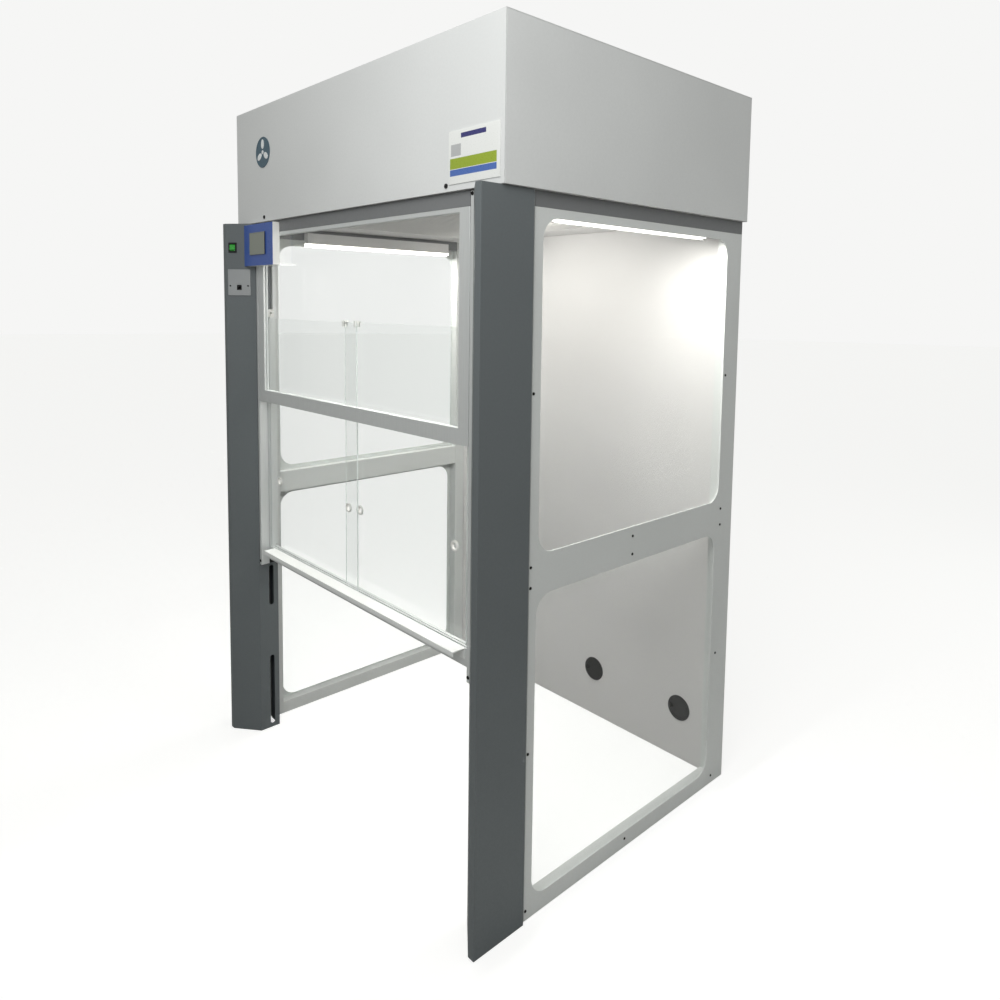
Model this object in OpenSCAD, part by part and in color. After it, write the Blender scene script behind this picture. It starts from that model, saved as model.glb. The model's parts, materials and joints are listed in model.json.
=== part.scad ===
// Walk-in fume hood: a filtered fan plenum on two shaped front posts, with glazed side
// panels, a fixed front screen and a counterbalanced sash that holds two sliding panes.
// Millimetres. +X is the right-hand side, +Y the back and +Z up; the floor is Z = 0 and
// the origin is under the middle of the whole hood. Modules work in a frame whose Y = 0
// is the plenum's front face, and at_front() moves that frame to its place.

/* [Overall] */
// Height from the floor to the plenum roof
total_h = 2300; // [2200:10:2800]
// Width of the plenum box
body_w = 1445; // [1300:5:1800]
// Depth of the plenum box
body_d = 1085; // [1000:5:1320]
// Height of the plenum box
plenum_h = 395; // [390:5:480]
// Thickness of the folded sheet metal
sheet_t = 2; // [1.5:0.5:3]

/* [Front posts] */
// Distance that the post noses stand in front of the plenum
post_nose = 62; // [40:1:90]
// Width of a post, from its outer side to its inner face
post_w = 107.5; // [95:0.5:130]
// Width of the flat on the nose
nose_flat = 21; // [12:1:30]
// Depth of the post's inner face
inner_face_d = 74.5; // [70:0.5:90]
// Inset of the post's outer side from the plenum's side
post_inset = 9.5; // [5:0.5:15]

/* [Side panels] */
// Thickness of the side and back panels
panel_t = 3; // [2:0.5:4]
// Inset of the side panels from the plenum's side
side_inset = 16.5; // [14:0.5:24]
// Top of the lower side window
low_window_top = 879; // [700:1:900]
// Height of the rail between the two side windows
mid_rail_h = 108; // [90:1:140]
// Corner radius of the side windows
window_r = 55; // [20:1:90]
// Thickness of the side glazing
glazing_t = 4; // [3:0.5:6]
// Side of the frame tubes, across the hood
tube_w = 35; // [25:1:45]
// Height of the dark header band
header_h = 40; // [30:1:60]

/* [Fixed screen] */
// Underside of the fixed screen
screen_z = 1265; // [1100:5:1400]
// Height of the fixed screen's bottom rail
screen_rail_h = 44; // [30:1:60]
// Width of the fixed screen's stiles
screen_stile_w = 41; // [30:1:60]

/* [Sash] */
// Top of the handle ledge with the sash on its stops
ledge_z = 718; // [600:1:900]
// Height of the sash above the ledge
sash_h = 852; // [750:1:880]
// Depth of the handle ledge
ledge_d = 42; // [30:1:60]
// Height of the sash's bottom rail
sash_rail_h = 50; // [40:1:70]
// Thickness of the sliding panes
pane_t = 5; // [4:0.5:6]
// Overlap of the two closed panes
pane_overlap = 24; // [24:1:80]
// Distance that the right pane stands open at rest
pane_ajar = 56; // [0:1:200]

/* [Counterbalance] */
// Radius at which the cable runs round its pulley
pulley_r = 38.5; // [30:0.5:42]
// Diameter of the wire cable
cable_d = 3; // [2:0.5:4]
// Height of a counterweight
weight_h = 560; // [350:10:600]
// Height of the counterweight's foot above the floor at rest
weight_z = 620; // [500:10:700]

/* [Controls] */
// Width of the control box
control_w = 220; // [180:1:260]
// Height of the control box
control_h = 145; // [120:1:180]
// Width of the touch screen
display_w = 118; // [80:1:150]
// Height of the touch screen
display_h = 77; // [50:1:100]

/* [Ventilation] */
// Width of the ceiling intake
intake_w = 920; // [600:10:1000]
// Depth of the ceiling intake
intake_d = 620; // [450:10:700]
// Outer diameter of the roof spigot
spigot_d = 250; // [160:5:315]
// Height of the roof spigot
spigot_h = 60; // [40:5:100]
// Radius of the fan impeller
impeller_r = 150; // [130:5:180]

/* [Hidden] */
$fn = 48;

// Colours
post_grey = "#5d6264";
band_grey = "#74767a";
frame_grey = "#b4b9b8";
plenum_white = "#d9dbda";
white = "#eeeeea";
clear = [0.75, 0.85, 0.88, 0.3];
steel = "#a9acae";
black = "#1a1a1a";

// Clearances
gap = 0.2;
running = 0.05;
slide_gap = 0.5;
eps = 1;

// Main planes
front_y = -(body_d + post_nose) / 2 + post_nose;
half_w = body_w / 2;
plenum_z = total_h - plenum_h;
post_x = half_w - post_inset;
open_x = post_x - post_w;
side_x = half_w - side_inset;
tube_x1 = side_x - panel_t;
tube_x0 = tube_x1 - tube_w;
tube_wall = 2.5;

// Posts
face_y0 = 8.5;
face_y1 = face_y0 + inner_face_d;
post_side_y = face_y1 + 27;
face_angle = atan2(face_y0 + post_nose, post_w - nose_flat);
slot_y = 55.5;
slot_r = 9;
low_slot_z = [15, 285];
high_slot_z = [483, 637];

// Side panels, front to back
strip_w = 8;
panel_y0 = post_side_y + strip_w + 1;
front_tube_y1 = panel_y0 + 12;
window_y0 = panel_y0 + 31;
upper_window_y1 = body_d - 86;
lower_window_y0 = window_y0 - 4;
lower_window_y1 = body_d - 101;
back_y = body_d - 31;
rear_tube_d = 50;
rear_tube_y0 = back_y - 1 - rear_tube_d;
panel_top = plenum_z - header_h;
low_window_z = 50;
upper_window_z0 = low_window_top + mid_rail_h;
upper_window_z1 = panel_top - 24;
lap = 12;
mid_tube_z0 = low_window_top + lap + 1;
mid_tube_z1 = upper_window_z0 - lap - 3;
sill_tube_h = 46;

// Fixed screen and sash
screen_x = open_x - 17.5;
screen_y = 11;
screen_t = 20;
header_z = plenum_z - header_h;
guide_z0 = ledge_z - 68;
rail_z0 = ledge_z - sash_rail_h - 1;
rail_x = open_x - 25.5;
rail_y0 = 42;
rail_y1 = 72;
stile_x1 = open_x - 2.5;
stile_y0 = 43;
stile_y1 = 69;
sash_top = ledge_z + sash_h;
cap_h = 28;
front_pane_y = 46;
rear_pane_y = 57;
groove_depth = 12;
pane_z0 = ledge_z - 1 - groove_depth;
pane_z1 = sash_top - 5;
pane_lap = 8;
pane_w = rail_x + pane_lap + pane_overlap / 2;
clip_w = pane_overlap / 2 - 1;
ring_z = 975;
ring_left_inset = 79;
ring_right_inset = 51;
ring_r = 15;
ring_hole_r = 12;

// Counterbalance
cable_x = (rail_x + gap + stile_x1) / 2;
cable_y = (stile_y0 + stile_y1) / 2;
pulley_x = cable_x + pulley_r;
weight_x = cable_x + 2 * pulley_r;
pulley_rim = pulley_r + 4.5;
pulley_z = plenum_z + sheet_t + pulley_rim + 6;
pulley_half = 7;
axle_r = 6;
weight_depth = 46;

// Grommets in the back panel
grommet_z = 187;
grommet_left_x = 145;
grommet_right_x = 542.5;
grommet_r = 45;
grommet_bore_r = 36;

// Fascia hinge and latches
hinge_pin_r = 1.5;
knuckle_r = 3;
knuckle_half = 11.5;
hinge_y = 18.2;
hinge_z = total_h + knuckle_r;
hinge_x = half_w * 0.72;
leaf_t = 1.2;
leaf_w = 14;
fascia_t = 2;
latch_x = 508;
latch_z = plenum_z + 15;
latch_r = 4;
latch_head_r = 6;

// Light strips, front to back
led_y = [240, body_d - 155];

// Plenum contents
fan_y = 570;
intake_y0 = fan_y - intake_d / 2;
intake_y1 = fan_y + intake_d / 2;
filter_lap = 18;
prefilter_h = 25;
carbon_h = 150;
deck_z = plenum_z + sheet_t + prefilter_h + carbon_h + 6;
impeller_z = deck_z + 6;
impeller_h = 82;
inlet_r = impeller_r * 0.7;
shaft_r = 8;
motor_r = 62;
motor_z = impeller_z + impeller_h + 6;
motor_h = 66;

// Controls on the left post's angled face
rocker_along = 26.5;
rocker_z = plenum_z - 86;
plate_along = 51;
plate_z = plenum_z - 211;
control_y0 = -17;
control_y1 = 10.6;
control_z1 = plenum_z - 8;
rocker_tilt = 8;

module block(x, y, z) {
    translate([x[0], y[0], z[0]]) cube([x[1] - x[0], y[1] - y[0], z[1] - z[0]]);
}

// A rectangular tube that runs along Z, or along Y when lying is true
module tube(x, y, z, wall, lying = false) {
    w = [wall, -wall];
    far = [-eps, eps];
    difference() {
        block(x, y, z);
        if (lying) block(x + w, y + far, z + w);
        else block(x + w, y + w, z + far);
    }
}

module at_front() {
    translate([0, front_y, 0]) children();
}

// The children are drawn for the right-hand side, and side is 1 or -1
module on_side(side) {
    at_front() mirror([side < 0 ? 1 : 0, 0, 0]) children();
}

module both_sides() {
    on_side(1) children();
    on_side(-1) children();
}

// A sheet folded along a path, its thickness to the right of the path's direction
function right_normal(a, b) = let (d = (b - a) / norm(b - a)) [d.y, -d.x];
function folded(path, t) = [
    for (i = [0 : len(path) - 1])
        let (
            last = len(path) - 1,
            n1 = i > 0 ? right_normal(path[i - 1], path[i]) : right_normal(path[0], path[1]),
            n2 = i < last ? right_normal(path[i], path[i + 1]) : n1
        )
        path[i] + t * (n1 + n2) / (1 + n1 * n2)
];
module folded_sheet(path, t) {
    inside = folded(path, t);
    polygon(concat(path, [for (i = [len(inside) - 1 : -1 : 0]) inside[i]]));
}

// X of the left post's angled face at a given Y
function face_x(y) = -(post_x - nose_flat) + (y + post_nose) / tan(face_angle);

// A place on the left post's angled face: local X runs along it and -Y points out of it
module on_left_face(along, z) {
    at_front() translate([-(post_x - nose_flat), -post_nose, z]) rotate([0, 0, face_angle])
        translate([along, 0, 0]) children();
}

// Shaped front posts -----------------------------------------------------------------

module face_slot(z0, z1, r) {
    translate([open_x, slot_y, 0]) {
        block([-eps, sheet_t + eps], [-r, r], [z0 + r, z1 - r]);
        for (z = [z0 + r, z1 - r])
            translate([-eps, 0, z]) rotate([0, 90, 0]) cylinder(r = r, h = sheet_t + 2 * eps);
    }
}

module post_cover() {
    path = [
        [post_x, post_side_y], [post_x, -post_nose], [post_x - nose_flat, -post_nose],
        [open_x, face_y0], [open_x, face_y1], [tube_x0, face_y1]
    ];
    difference() {
        union() {
            linear_extrude(plenum_z - gap) folded_sheet(path, sheet_t);
            translate([0, 0, plenum_z - gap - sheet_t]) linear_extrude(sheet_t)
                polygon([path[1], path[2], path[3], [post_x, face_y0]]);
        }
        face_slot(low_slot_z[0], low_slot_z[1], slot_r);
        face_slot(high_slot_z[0], high_slot_z[1], slot_r);
    }
}

module post_cover_right() {
    color(post_grey) on_side(1) post_cover();
}

module post_cover_left() {
    color(post_grey) difference() {
        on_side(-1) post_cover();
        on_left_face(rocker_along, rocker_z) block([-13.8, 13.8], [-eps, 4], [-16.3, 16.3]);
        on_left_face(plate_along, plate_z - 18) block([-10.3, 10.3], [-eps, 4], [-10.3, 10.3]);
    }
}

// Frame ------------------------------------------------------------------------------

module frame_posts() {
    color(frame_grey) both_sides() {
        tube([tube_x0, tube_x1], [face_y1 + gap, front_tube_y1], [0, plenum_z - gap], tube_wall);
        block([tube_x1, side_x - 0.4], [post_side_y + 0.6, post_side_y + 0.6 + strip_w],
            [0, plenum_z - gap]);
        tube([tube_x0, tube_x1], [rear_tube_y0, back_y - 1], [0, plenum_z - gap], tube_wall);
    }
}

module side_rails() {
    y = [front_tube_y1 + gap, rear_tube_y0 - gap];
    color(frame_grey) both_sides() {
        tube([tube_x0, tube_x1 - gap], y, [0, sill_tube_h], tube_wall, lying = true);
        tube([tube_x0, tube_x1 - gap], y, [mid_tube_z0, mid_tube_z1], tube_wall, lying = true);
    }
}

module rounded_window(y, z, r) {
    translate([side_x - panel_t - eps, 0, 0]) rotate([90, 0, 90])
        linear_extrude(panel_t + 2 * eps) union() {
            translate([y[0] + r, z[0]]) square([y[1] - y[0] - 2 * r, z[1] - z[0]]);
            translate([y[0], z[0] + r]) square([y[1] - y[0], z[1] - z[0] - 2 * r]);
            for (cy = [y[0] + r, y[1] - r], cz = [z[0] + r, z[1] - r])
                translate([cy, cz]) circle(r = r);
        }
}

module side_panel() {
    difference() {
        block([tube_x1, side_x], [panel_y0, body_d - 1], [0, panel_top]);
        rounded_window([window_y0, upper_window_y1], [upper_window_z0, upper_window_z1], window_r);
        rounded_window([lower_window_y0, lower_window_y1], [low_window_z, low_window_top], window_r);
    }
}

module side_panel_left() { color(frame_grey) on_side(-1) side_panel(); }
module side_panel_right() { color(frame_grey) on_side(1) side_panel(); }

module side_windows() {
    x = [tube_x1 - gap - glazing_t, tube_x1 - gap];
    color(clear) both_sides() {
        block(x, [window_y0 - lap, rear_tube_y0 - 1], [mid_tube_z1 + 3, upper_window_z1 + lap]);
        block(x, [lower_window_y0 - lap, lower_window_y1 + lap],
            [sill_tube_h + 2, mid_tube_z0 - 2]);
    }
}

module back_panel() {
    color(white) at_front() difference() {
        block([-(tube_x1 - gap), tube_x1 - gap], [back_y, back_y + panel_t], [0, plenum_z - gap]);
        for (x = [grommet_left_x, grommet_right_x])
            translate([x, back_y - eps, grommet_z]) rotate([-90, 0, 0])
                cylinder(r = grommet_bore_r + 2.2, h = panel_t + 2 * eps);
    }
}

module header_bands() {
    z = [panel_top + gap, plenum_z - gap];
    color(band_grey) {
        both_sides() {
            block([tube_x1 + gap, side_x], [panel_y0, body_d - 1], z);
            tube([tube_x0, tube_x1 + gap], [front_tube_y1 + gap, rear_tube_y0 - gap], z,
                tube_wall, lying = true);
        }
        at_front() difference() {
            block([-screen_x, screen_x], [screen_y, screen_y + 29], [header_z, plenum_z - gap]);
            block([-screen_x + tube_wall, screen_x - tube_wall],
                [screen_y + tube_wall, screen_y + 29 - tube_wall],
                [header_z + tube_wall, plenum_z]);
        }
    }
}

// Plenum -----------------------------------------------------------------------------

module plenum_wrap() {
    y0 = fascia_t + 1;
    flange = 22.5;
    path = [
        [-half_w + flange, y0], [-half_w, y0], [-half_w, body_d],
        [half_w, body_d], [half_w, y0], [half_w - flange, y0]
    ];
    color(plenum_white) at_front() translate([0, 0, plenum_z])
        linear_extrude(plenum_h - sheet_t - gap) folded_sheet(path, sheet_t);
}

module plenum_roof() {
    // The front edge steps down to pass under the fascia's top flange
    step_z = total_h - sheet_t - 0.4;
    step_y = hinge_y + 1;
    x = half_w - sheet_t - gap;
    color(plenum_white) at_front() difference() {
        union() {
            block([-half_w, half_w], [step_y, body_d], [total_h - sheet_t, total_h]);
            block([-x, x], [step_y, step_y + sheet_t], [step_z - sheet_t, total_h]);
            block([-x, x], [fascia_t + 1 + sheet_t + gap, step_y + sheet_t],
                [step_z - sheet_t, step_z]);
        }
        translate([0, fan_y, total_h - sheet_t - eps])
            cylinder(d = spigot_d - 5, h = sheet_t + 2 * eps);
    }
}

module ceiling_panel() {
    x = half_w - sheet_t - gap;
    color(white) at_front() difference() {
        block([-x, x], [fascia_t + 1 + sheet_t + gap, body_d - sheet_t - gap],
            [plenum_z, plenum_z + sheet_t]);
        block([-intake_w / 2, intake_w / 2], [intake_y0, intake_y1],
            [plenum_z - eps, plenum_z + sheet_t + eps]);
        for (cx = [-weight_x, -cable_x, cable_x, weight_x])
            translate([cx, cable_y, plenum_z - eps])
                cylinder(r = 2 * cable_d, h = sheet_t + 2 * eps);
    }
}

module intake_grille() {
    rim = 15;
    bar = 12;
    count = round(intake_w / 30);
    pitch = (intake_w - bar) / count;
    color(white) at_front() difference() {
        block([-intake_w / 2 - rim, intake_w / 2 + rim], [intake_y0 - rim, intake_y1 + rim],
            [plenum_z - gap - 3, plenum_z - gap]);
        for (i = [0 : count - 1])
            translate([-intake_w / 2 + bar + i * pitch, 0, 0])
                block([0, pitch - bar], [intake_y0 + bar, intake_y1 - bar],
                    [plenum_z - gap - 3 - eps, plenum_z]);
    }
}

module filter_cassette(z, h, recess) {
    x = intake_w / 2 + filter_lap;
    y = [intake_y0 - filter_lap, intake_y1 + filter_lap];
    rim = 20;
    difference() {
        block([-x, x], y, [z, z + h]);
        for (zc = [[z - eps, z + recess], [z + h - recess, z + h + eps]])
            block([-x + rim, x - rim], [y[0] + rim, y[1] - rim], zc);
    }
}

module prefilter() {
    color(white) at_front() filter_cassette(plenum_z + sheet_t + gap, prefilter_h, 3);
}

module carbon_filter() {
    color(steel) at_front()
        filter_cassette(plenum_z + sheet_t + prefilter_h + 2, carbon_h, 6);
}

module fan_deck() {
    x = half_w - sheet_t - gap;
    color(steel) at_front() translate([0, 0, deck_z]) difference() {
        union() {
            block([-x, x], [14, body_d - sheet_t - gap], [0, sheet_t]);
            translate([0, fan_y, 0]) cylinder(r = inlet_r, h = 20);
        }
        translate([0, fan_y, -eps]) cylinder(r = inlet_r - 3, h = 20 + 2 * eps);
    }
}

module fan_motor() {
    color(black) at_front() translate([0, fan_y, 0]) {
        translate([0, 0, motor_z]) cylinder(r = motor_r, h = motor_h);
        translate([0, 0, motor_z + motor_h]) cylinder(r = 20, h = 2);
        translate([0, 0, impeller_z + 36]) cylinder(r = shaft_r, h = motor_z - impeller_z - 36);
    }
}

module motor_bridge() {
    top = motor_z + motor_h + 2 + gap;
    x = impeller_r + 50;
    color(steel) at_front() {
        block([-x, x], [fan_y - 25, fan_y + 25], [top, top + 3]);
        for (s = [-1, 1])
            block([s * x - 1.5 - s * 1.5, s * x + 1.5 - s * 1.5], [fan_y - 25, fan_y + 25],
                [deck_z + sheet_t + gap, top]);
    }
}

module impeller_blade(h) {
    blade_r = impeller_r * 0.6;
    tip = impeller_r - 4;
    linear_extrude(h) intersection() {
        translate([tip * 0.58, blade_r * 0.55]) difference() {
            circle(r = blade_r);
            circle(r = blade_r - 2.5);
        }
        difference() {
            circle(r = tip);
            circle(r = inlet_r + 9);
            translate([-2 * tip, -2 * tip]) square([4 * tip, 2 * tip]);
        }
    }
}

module fan_impeller() {
    color(steel) at_front() translate([0, fan_y, impeller_z]) difference() {
        union() {
            translate([0, 0, impeller_h - 3]) cylinder(r = impeller_r, h = 3);
            translate([0, 0, impeller_h - 40]) cylinder(r = 22, h = 40);
            difference() {
                cylinder(r = impeller_r, h = 3);
                translate([0, 0, -eps]) cylinder(r = inlet_r + 6, h = 3 + 2 * eps);
            }
            for (a = [0 : 360 / 7 : 359]) rotate([0, 0, a]) impeller_blade(impeller_h);
        }
        translate([0, 0, 20]) cylinder(r = shaft_r + running, h = impeller_h);
    }
}

module exhaust_spigot() {
    color(steel) at_front() translate([0, fan_y, total_h + gap]) difference() {
        union() {
            cylinder(d = spigot_d + 50, h = 3);
            cylinder(d = spigot_d, h = spigot_h);
        }
        translate([0, 0, -eps]) cylinder(d = spigot_d - 5, h = spigot_h + 2 * eps);
    }
}

module led_housings() {
    color(white) both_sides()
        difference() {
            block([tube_x0 - 28, tube_x0 - gap], led_y, [header_z - 15, header_z + 25]);
            block([tube_x0 - 26.5, tube_x0 - 1.5], led_y + [1.5, -1.5],
                [header_z - 16, header_z + 23.5]);
        }
}

module led_diffusers() {
    color("#fffdf4") both_sides()
        block([tube_x0 - 28, tube_x0 - gap], led_y, [header_z - 21, header_z - 15]);
}

// Fixed front screen -----------------------------------------------------------------

module screen_frame() {
    y = [screen_y, screen_y + screen_t];
    glass_x = screen_x - screen_stile_w;
    color(frame_grey) at_front() difference() {
        block([-screen_x, screen_x], y, [screen_z, header_z - gap]);
        block([-glass_x, glass_x], [y[0] - eps, y[1] + eps],
            [screen_z + screen_rail_h, header_z - lap]);
        screen_pane(lap / 2 + 4 + 0.1, 0.1);
    }
}

module screen_pane(lap_in, grow) {
    x = screen_x - screen_stile_w + lap_in;
    block([-x, x], [screen_y + 8 - grow, screen_y + 12 + grow],
        [screen_z + screen_rail_h - lap_in, header_z - lap + lap / 2]);
}

module screen_glass() {
    color(clear) at_front() screen_pane(lap / 2 + 4, 0);
}

module sash_guides() {
    color(frame_grey) both_sides() {
        block([open_x - 15, open_x - 2], [screen_y, stile_y0 - slide_gap],
            [guide_z0, plenum_z - 3]);
        block([open_x - 13.5, open_x - gap], [stile_y1 + slide_gap, face_y1 - 1],
            [ledge_z + 2, plenum_z - 3]);
    }
}

module rubber_stops() {
    color(black) both_sides()
        block([open_x - 17.5, open_x - gap], [stile_y0, face_y1 - 1],
            [rail_z0 - 15, rail_z0 - gap]);
}

// Sash -------------------------------------------------------------------------------

module sash_rail() {
    color(frame_grey) at_front() difference() {
        block([-rail_x, rail_x], [rail_y0, rail_y1], [rail_z0, ledge_z - 1]);
        for (y = [front_pane_y, rear_pane_y])
            block([-rail_x - eps, rail_x + eps], [y - 0.5, y + pane_t + 0.5],
                [pane_z0 - 0.3, ledge_z]);
        block([-rail_x - eps, rail_x + eps], [rail_y0 + 3, rail_y1 - 3],
            [rail_z0 - eps, pane_z0 - 6]);
    }
}

module sash_ledge() {
    x = open_x - 58.5;
    color(white) at_front() {
        block([-x, x], [0, ledge_d - gap], [ledge_z - 3, ledge_z]);
        block([-x, x], [0, 3], [ledge_z - 14, ledge_z - 3]);
        block([-x, x], [ledge_d - gap - 3, ledge_d - gap], [ledge_z - 30, ledge_z - 3]);
    }
}

// A stile with a channel for the edge of the pane at the given Y
module stile(pane_y) {
    difference() {
        block([rail_x + gap, stile_x1], [stile_y0, stile_y1], [rail_z0, sash_top]);
        block([rail_x - eps, rail_x + pane_lap + 2], [pane_y - 0.5, pane_y + pane_t + 0.5],
            [pane_z0 - 0.3, sash_top + eps]);
    }
}

module sash_stiles() {
    color(frame_grey) {
        on_side(-1) stile(front_pane_y);
        on_side(1) stile(rear_pane_y);
    }
}

module sash_caps() {
    color(white) both_sides() difference() {
        block([rail_x + gap, stile_x1], [stile_y0, stile_y1],
            [sash_top + gap, sash_top + cap_h]);
        translate([rail_x, cable_y, sash_top + cap_h / 2]) rotate([0, 90, 0])
            cylinder(r = 4, h = stile_x1 - cable_x - 1);
    }
}

// The panes are alike, and each module takes the pane's left edge and its front face
function ring_places(x) = [x + ring_left_inset, x + pane_w - ring_right_inset];

module pane(x, y) {
    color(clear) at_front() difference() {
        block([x, x + pane_w], [y, y + pane_t], [pane_z0, pane_z1]);
        for (ring_x = ring_places(x))
            translate([ring_x, y - eps, ring_z]) rotate([-90, 0, 0])
                cylinder(r = ring_hole_r, h = pane_t + 2 * eps);
    }
}

module finger_rings(x, y) {
    lip = 1.2;
    for (ring_x = ring_places(x))
        translate([ring_x, y, ring_z]) rotate([-90, 0, 0]) difference() {
            union() {
                translate([0, 0, -lip]) cylinder(r = ring_r, h = lip);
                cylinder(r = ring_hole_r - running, h = pane_t);
                translate([0, 0, pane_t]) cylinder(r = ring_r, h = lip);
            }
            translate([0, 0, -lip - eps])
                cylinder(r = ring_hole_r - 2.5, h = pane_t + 2 * (lip + eps));
        }
}

// A clip that grips its own pane's top corner and runs over the other pane
module top_clip(x, y, other_y) {
    z0 = pane_z1 - 15;
    difference() {
        block([x, x + clip_w], [front_pane_y - 2, rear_pane_y + pane_t + 2], [z0, pane_z1 + 5]);
        block([x - eps, x + clip_w + eps], [y - running, y + pane_t + running],
            [z0 - eps, pane_z1 + running]);
        block([x - eps, x + clip_w + eps], [other_y - slide_gap, other_y + pane_t + slide_gap],
            [z0 - eps, pane_z1 + slide_gap]);
    }
}

left_pane_x = -(rail_x + pane_lap);
right_pane_x = rail_x + pane_lap - pane_w - pane_ajar;

module pane_left() { pane(left_pane_x, front_pane_y); }
module pane_right() { pane(right_pane_x, rear_pane_y); }
module pane_fittings_left() {
    color(white) at_front() {
        finger_rings(left_pane_x, front_pane_y);
        top_clip(left_pane_x + pane_w - clip_w, front_pane_y, rear_pane_y);
    }
}
module pane_fittings_right() {
    color(white) at_front() {
        finger_rings(right_pane_x, rear_pane_y);
        top_clip(right_pane_x, rear_pane_y, front_pane_y);
    }
}

// Counterbalance ---------------------------------------------------------------------

module weight() {
    w = min(47, 2 * (weight_x - open_x - sheet_t - 4));
    block([weight_x - w / 2, weight_x + w / 2],
        [cable_y - weight_depth / 2, cable_y + weight_depth / 2],
        [weight_z, weight_z + weight_h]);
    translate([weight_x, cable_y, weight_z + weight_h]) cylinder(r = 6, h = 20);
}

module cable(x, z0, z1) {
    translate([x, cable_y, z0]) cylinder(d = cable_d, h = z1 - z0);
}

module pulley() {
    rim = pulley_rim;
    bed = pulley_r - cable_d / 2 - 0.3;
    translate([pulley_x, cable_y, pulley_z]) rotate([90, 0, 0]) rotate_extrude() polygon([
        [axle_r + running, -pulley_half], [rim, -pulley_half], [rim, -pulley_half + 2],
        [bed, -cable_d / 2 - 0.4], [bed, cable_d / 2 + 0.4],
        [rim, pulley_half - 2], [rim, pulley_half], [axle_r + running, pulley_half]
    ]);
}

module pulley_brackets() {
    half = pulley_r - 12;
    foot = pulley_half + 5;
    color(steel) both_sides() {
        block([pulley_x - half, pulley_x + half], [cable_y - foot, cable_y + foot],
            [plenum_z + sheet_t + gap, plenum_z + sheet_t + 2]);
        for (s = [-1, 1])
            block([pulley_x - 15, pulley_x + 15],
                [cable_y + s * (foot - 1.5) - 1.5, cable_y + s * (foot - 1.5) + 1.5],
                [plenum_z + sheet_t + gap, pulley_z + 15]);
        translate([pulley_x, cable_y - foot - 2, pulley_z]) rotate([-90, 0, 0])
            cylinder(r = axle_r, h = 2 * foot + 4);
    }
}

module pulley_left() { color(black) on_side(-1) pulley(); }
module pulley_right() { color(black) on_side(1) pulley(); }

module cable_bends() {
    color(steel) both_sides()
        translate([pulley_x, cable_y, pulley_z]) rotate([90, 0, 0])
            rotate_extrude(angle = 180) translate([pulley_r, 0]) circle(d = cable_d);
}

module sash_cables() {
    color(steel) both_sides() cable(cable_x, sash_top + cap_h, pulley_z);
}
module weight_cables() {
    color(steel) both_sides() cable(weight_x, weight_z + weight_h + 20, pulley_z);
}
module weight_left() { color(black) on_side(-1) weight(); }
module weight_right() { color(black) on_side(1) weight(); }

// Controls ---------------------------------------------------------------------------

// The outline fills the corner between the post's angled face and the fixed screen
module control_outline(y0, y1, wall) {
    bend = min(y1, face_y0);
    x1 = face_x(control_y0) + control_w - wall;
    skew = wall / sin(face_angle);
    polygon([
        [face_x(y0) + gap + skew, y0], [x1, y0], [x1, y1 - wall],
        [face_x(bend - wall) + gap + skew, y1 - wall],
        [face_x(bend - wall) + gap + skew, bend - wall]
    ]);
}

module control_box() {
    y0 = control_y0 + 2;
    color(white) at_front() translate([0, 0, control_z1 - control_h]) difference() {
        linear_extrude(control_h) control_outline(y0, control_y1, 0);
        translate([0, 0, sheet_t]) linear_extrude(control_h - 2 * sheet_t)
            control_outline(y0 - eps, control_y1, sheet_t);
    }
}

// The panel's left edge follows the post's angled face
module control_panel() {
    x1 = face_x(control_y0) + control_w;
    y1 = control_y0 + 2;
    color("#3e5ca0") at_front() translate([0, 0, control_z1 - control_h])
        linear_extrude(control_h) polygon([
            [face_x(control_y0) + gap, control_y0], [x1, control_y0], [x1, y1],
            [face_x(y1) + gap, y1]
        ]);
}

module control_board() {
    mid_x = face_x(control_y0) + control_w / 2;
    mid_z = control_z1 - control_h / 2;
    color("#2f6b45") at_front()
        block([mid_x - display_w / 2, mid_x + display_w / 2], [control_y0 + 5, control_y0 + 7],
            [mid_z - display_h / 2, mid_z + display_h / 2]);
}

module touch_screen() {
    mid_x = face_x(control_y0) + control_w / 2;
    mid_z = control_z1 - control_h / 2 + 4;
    color("#82877d") at_front()
        block([mid_x - display_w / 2, mid_x + display_w / 2], [control_y0 - 4, control_y0 - gap],
            [mid_z - display_h / 2, mid_z + display_h / 2]);
}

module rocker_bezel() {
    color(black) on_left_face(rocker_along, rocker_z) difference() {
        union() {
            block([-15.5, 15.5], [-2.5, -gap], [-18, 18]);
            block([-13.5, 13.5], [-gap, 20], [-16, 16]);
        }
        block([-10.5, 10.5], [-4, 18], [-12.5, 12.5]);
    }
}

module power_rocker() {
    pivot = 5;
    color("#3c963c") on_left_face(rocker_along, rocker_z) translate([0, pivot, 0])
        rotate([-rocker_tilt, 0, 0]) intersection() {
            rotate([0, 90, 0]) translate([0, 0, -10]) cylinder(r = 12.2, h = 20);
            union() for (s = [-1, 1]) rotate([s * rocker_tilt, 0, 0])
                block([-10, 10], [-8.5, 3], s > 0 ? [-0.1, 14] : [-14, 0.1]);
        }
}

module socket_plate() {
    color("#9b9e9f") on_left_face(plate_along, plate_z) difference() {
        block([-43, 43], [-3, -gap], [-47, 47]);
        block([-9.2, 9.2], [-4, eps], [-27.2, -8.8]);
    }
}

module socket_port() {
    color(black) on_left_face(plate_along, plate_z - 18) difference() {
        block([-9, 9], [-2.5, 22], [-9, 9]);
        block([-6, 6], [-4, 12], [-5, 4]);
    }
}

// Back panel grommets ----------------------------------------------------------------

module at_grommet(x) {
    at_front() translate([x, back_y, grommet_z]) rotate([-90, 0, 0]) children();
}

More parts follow.
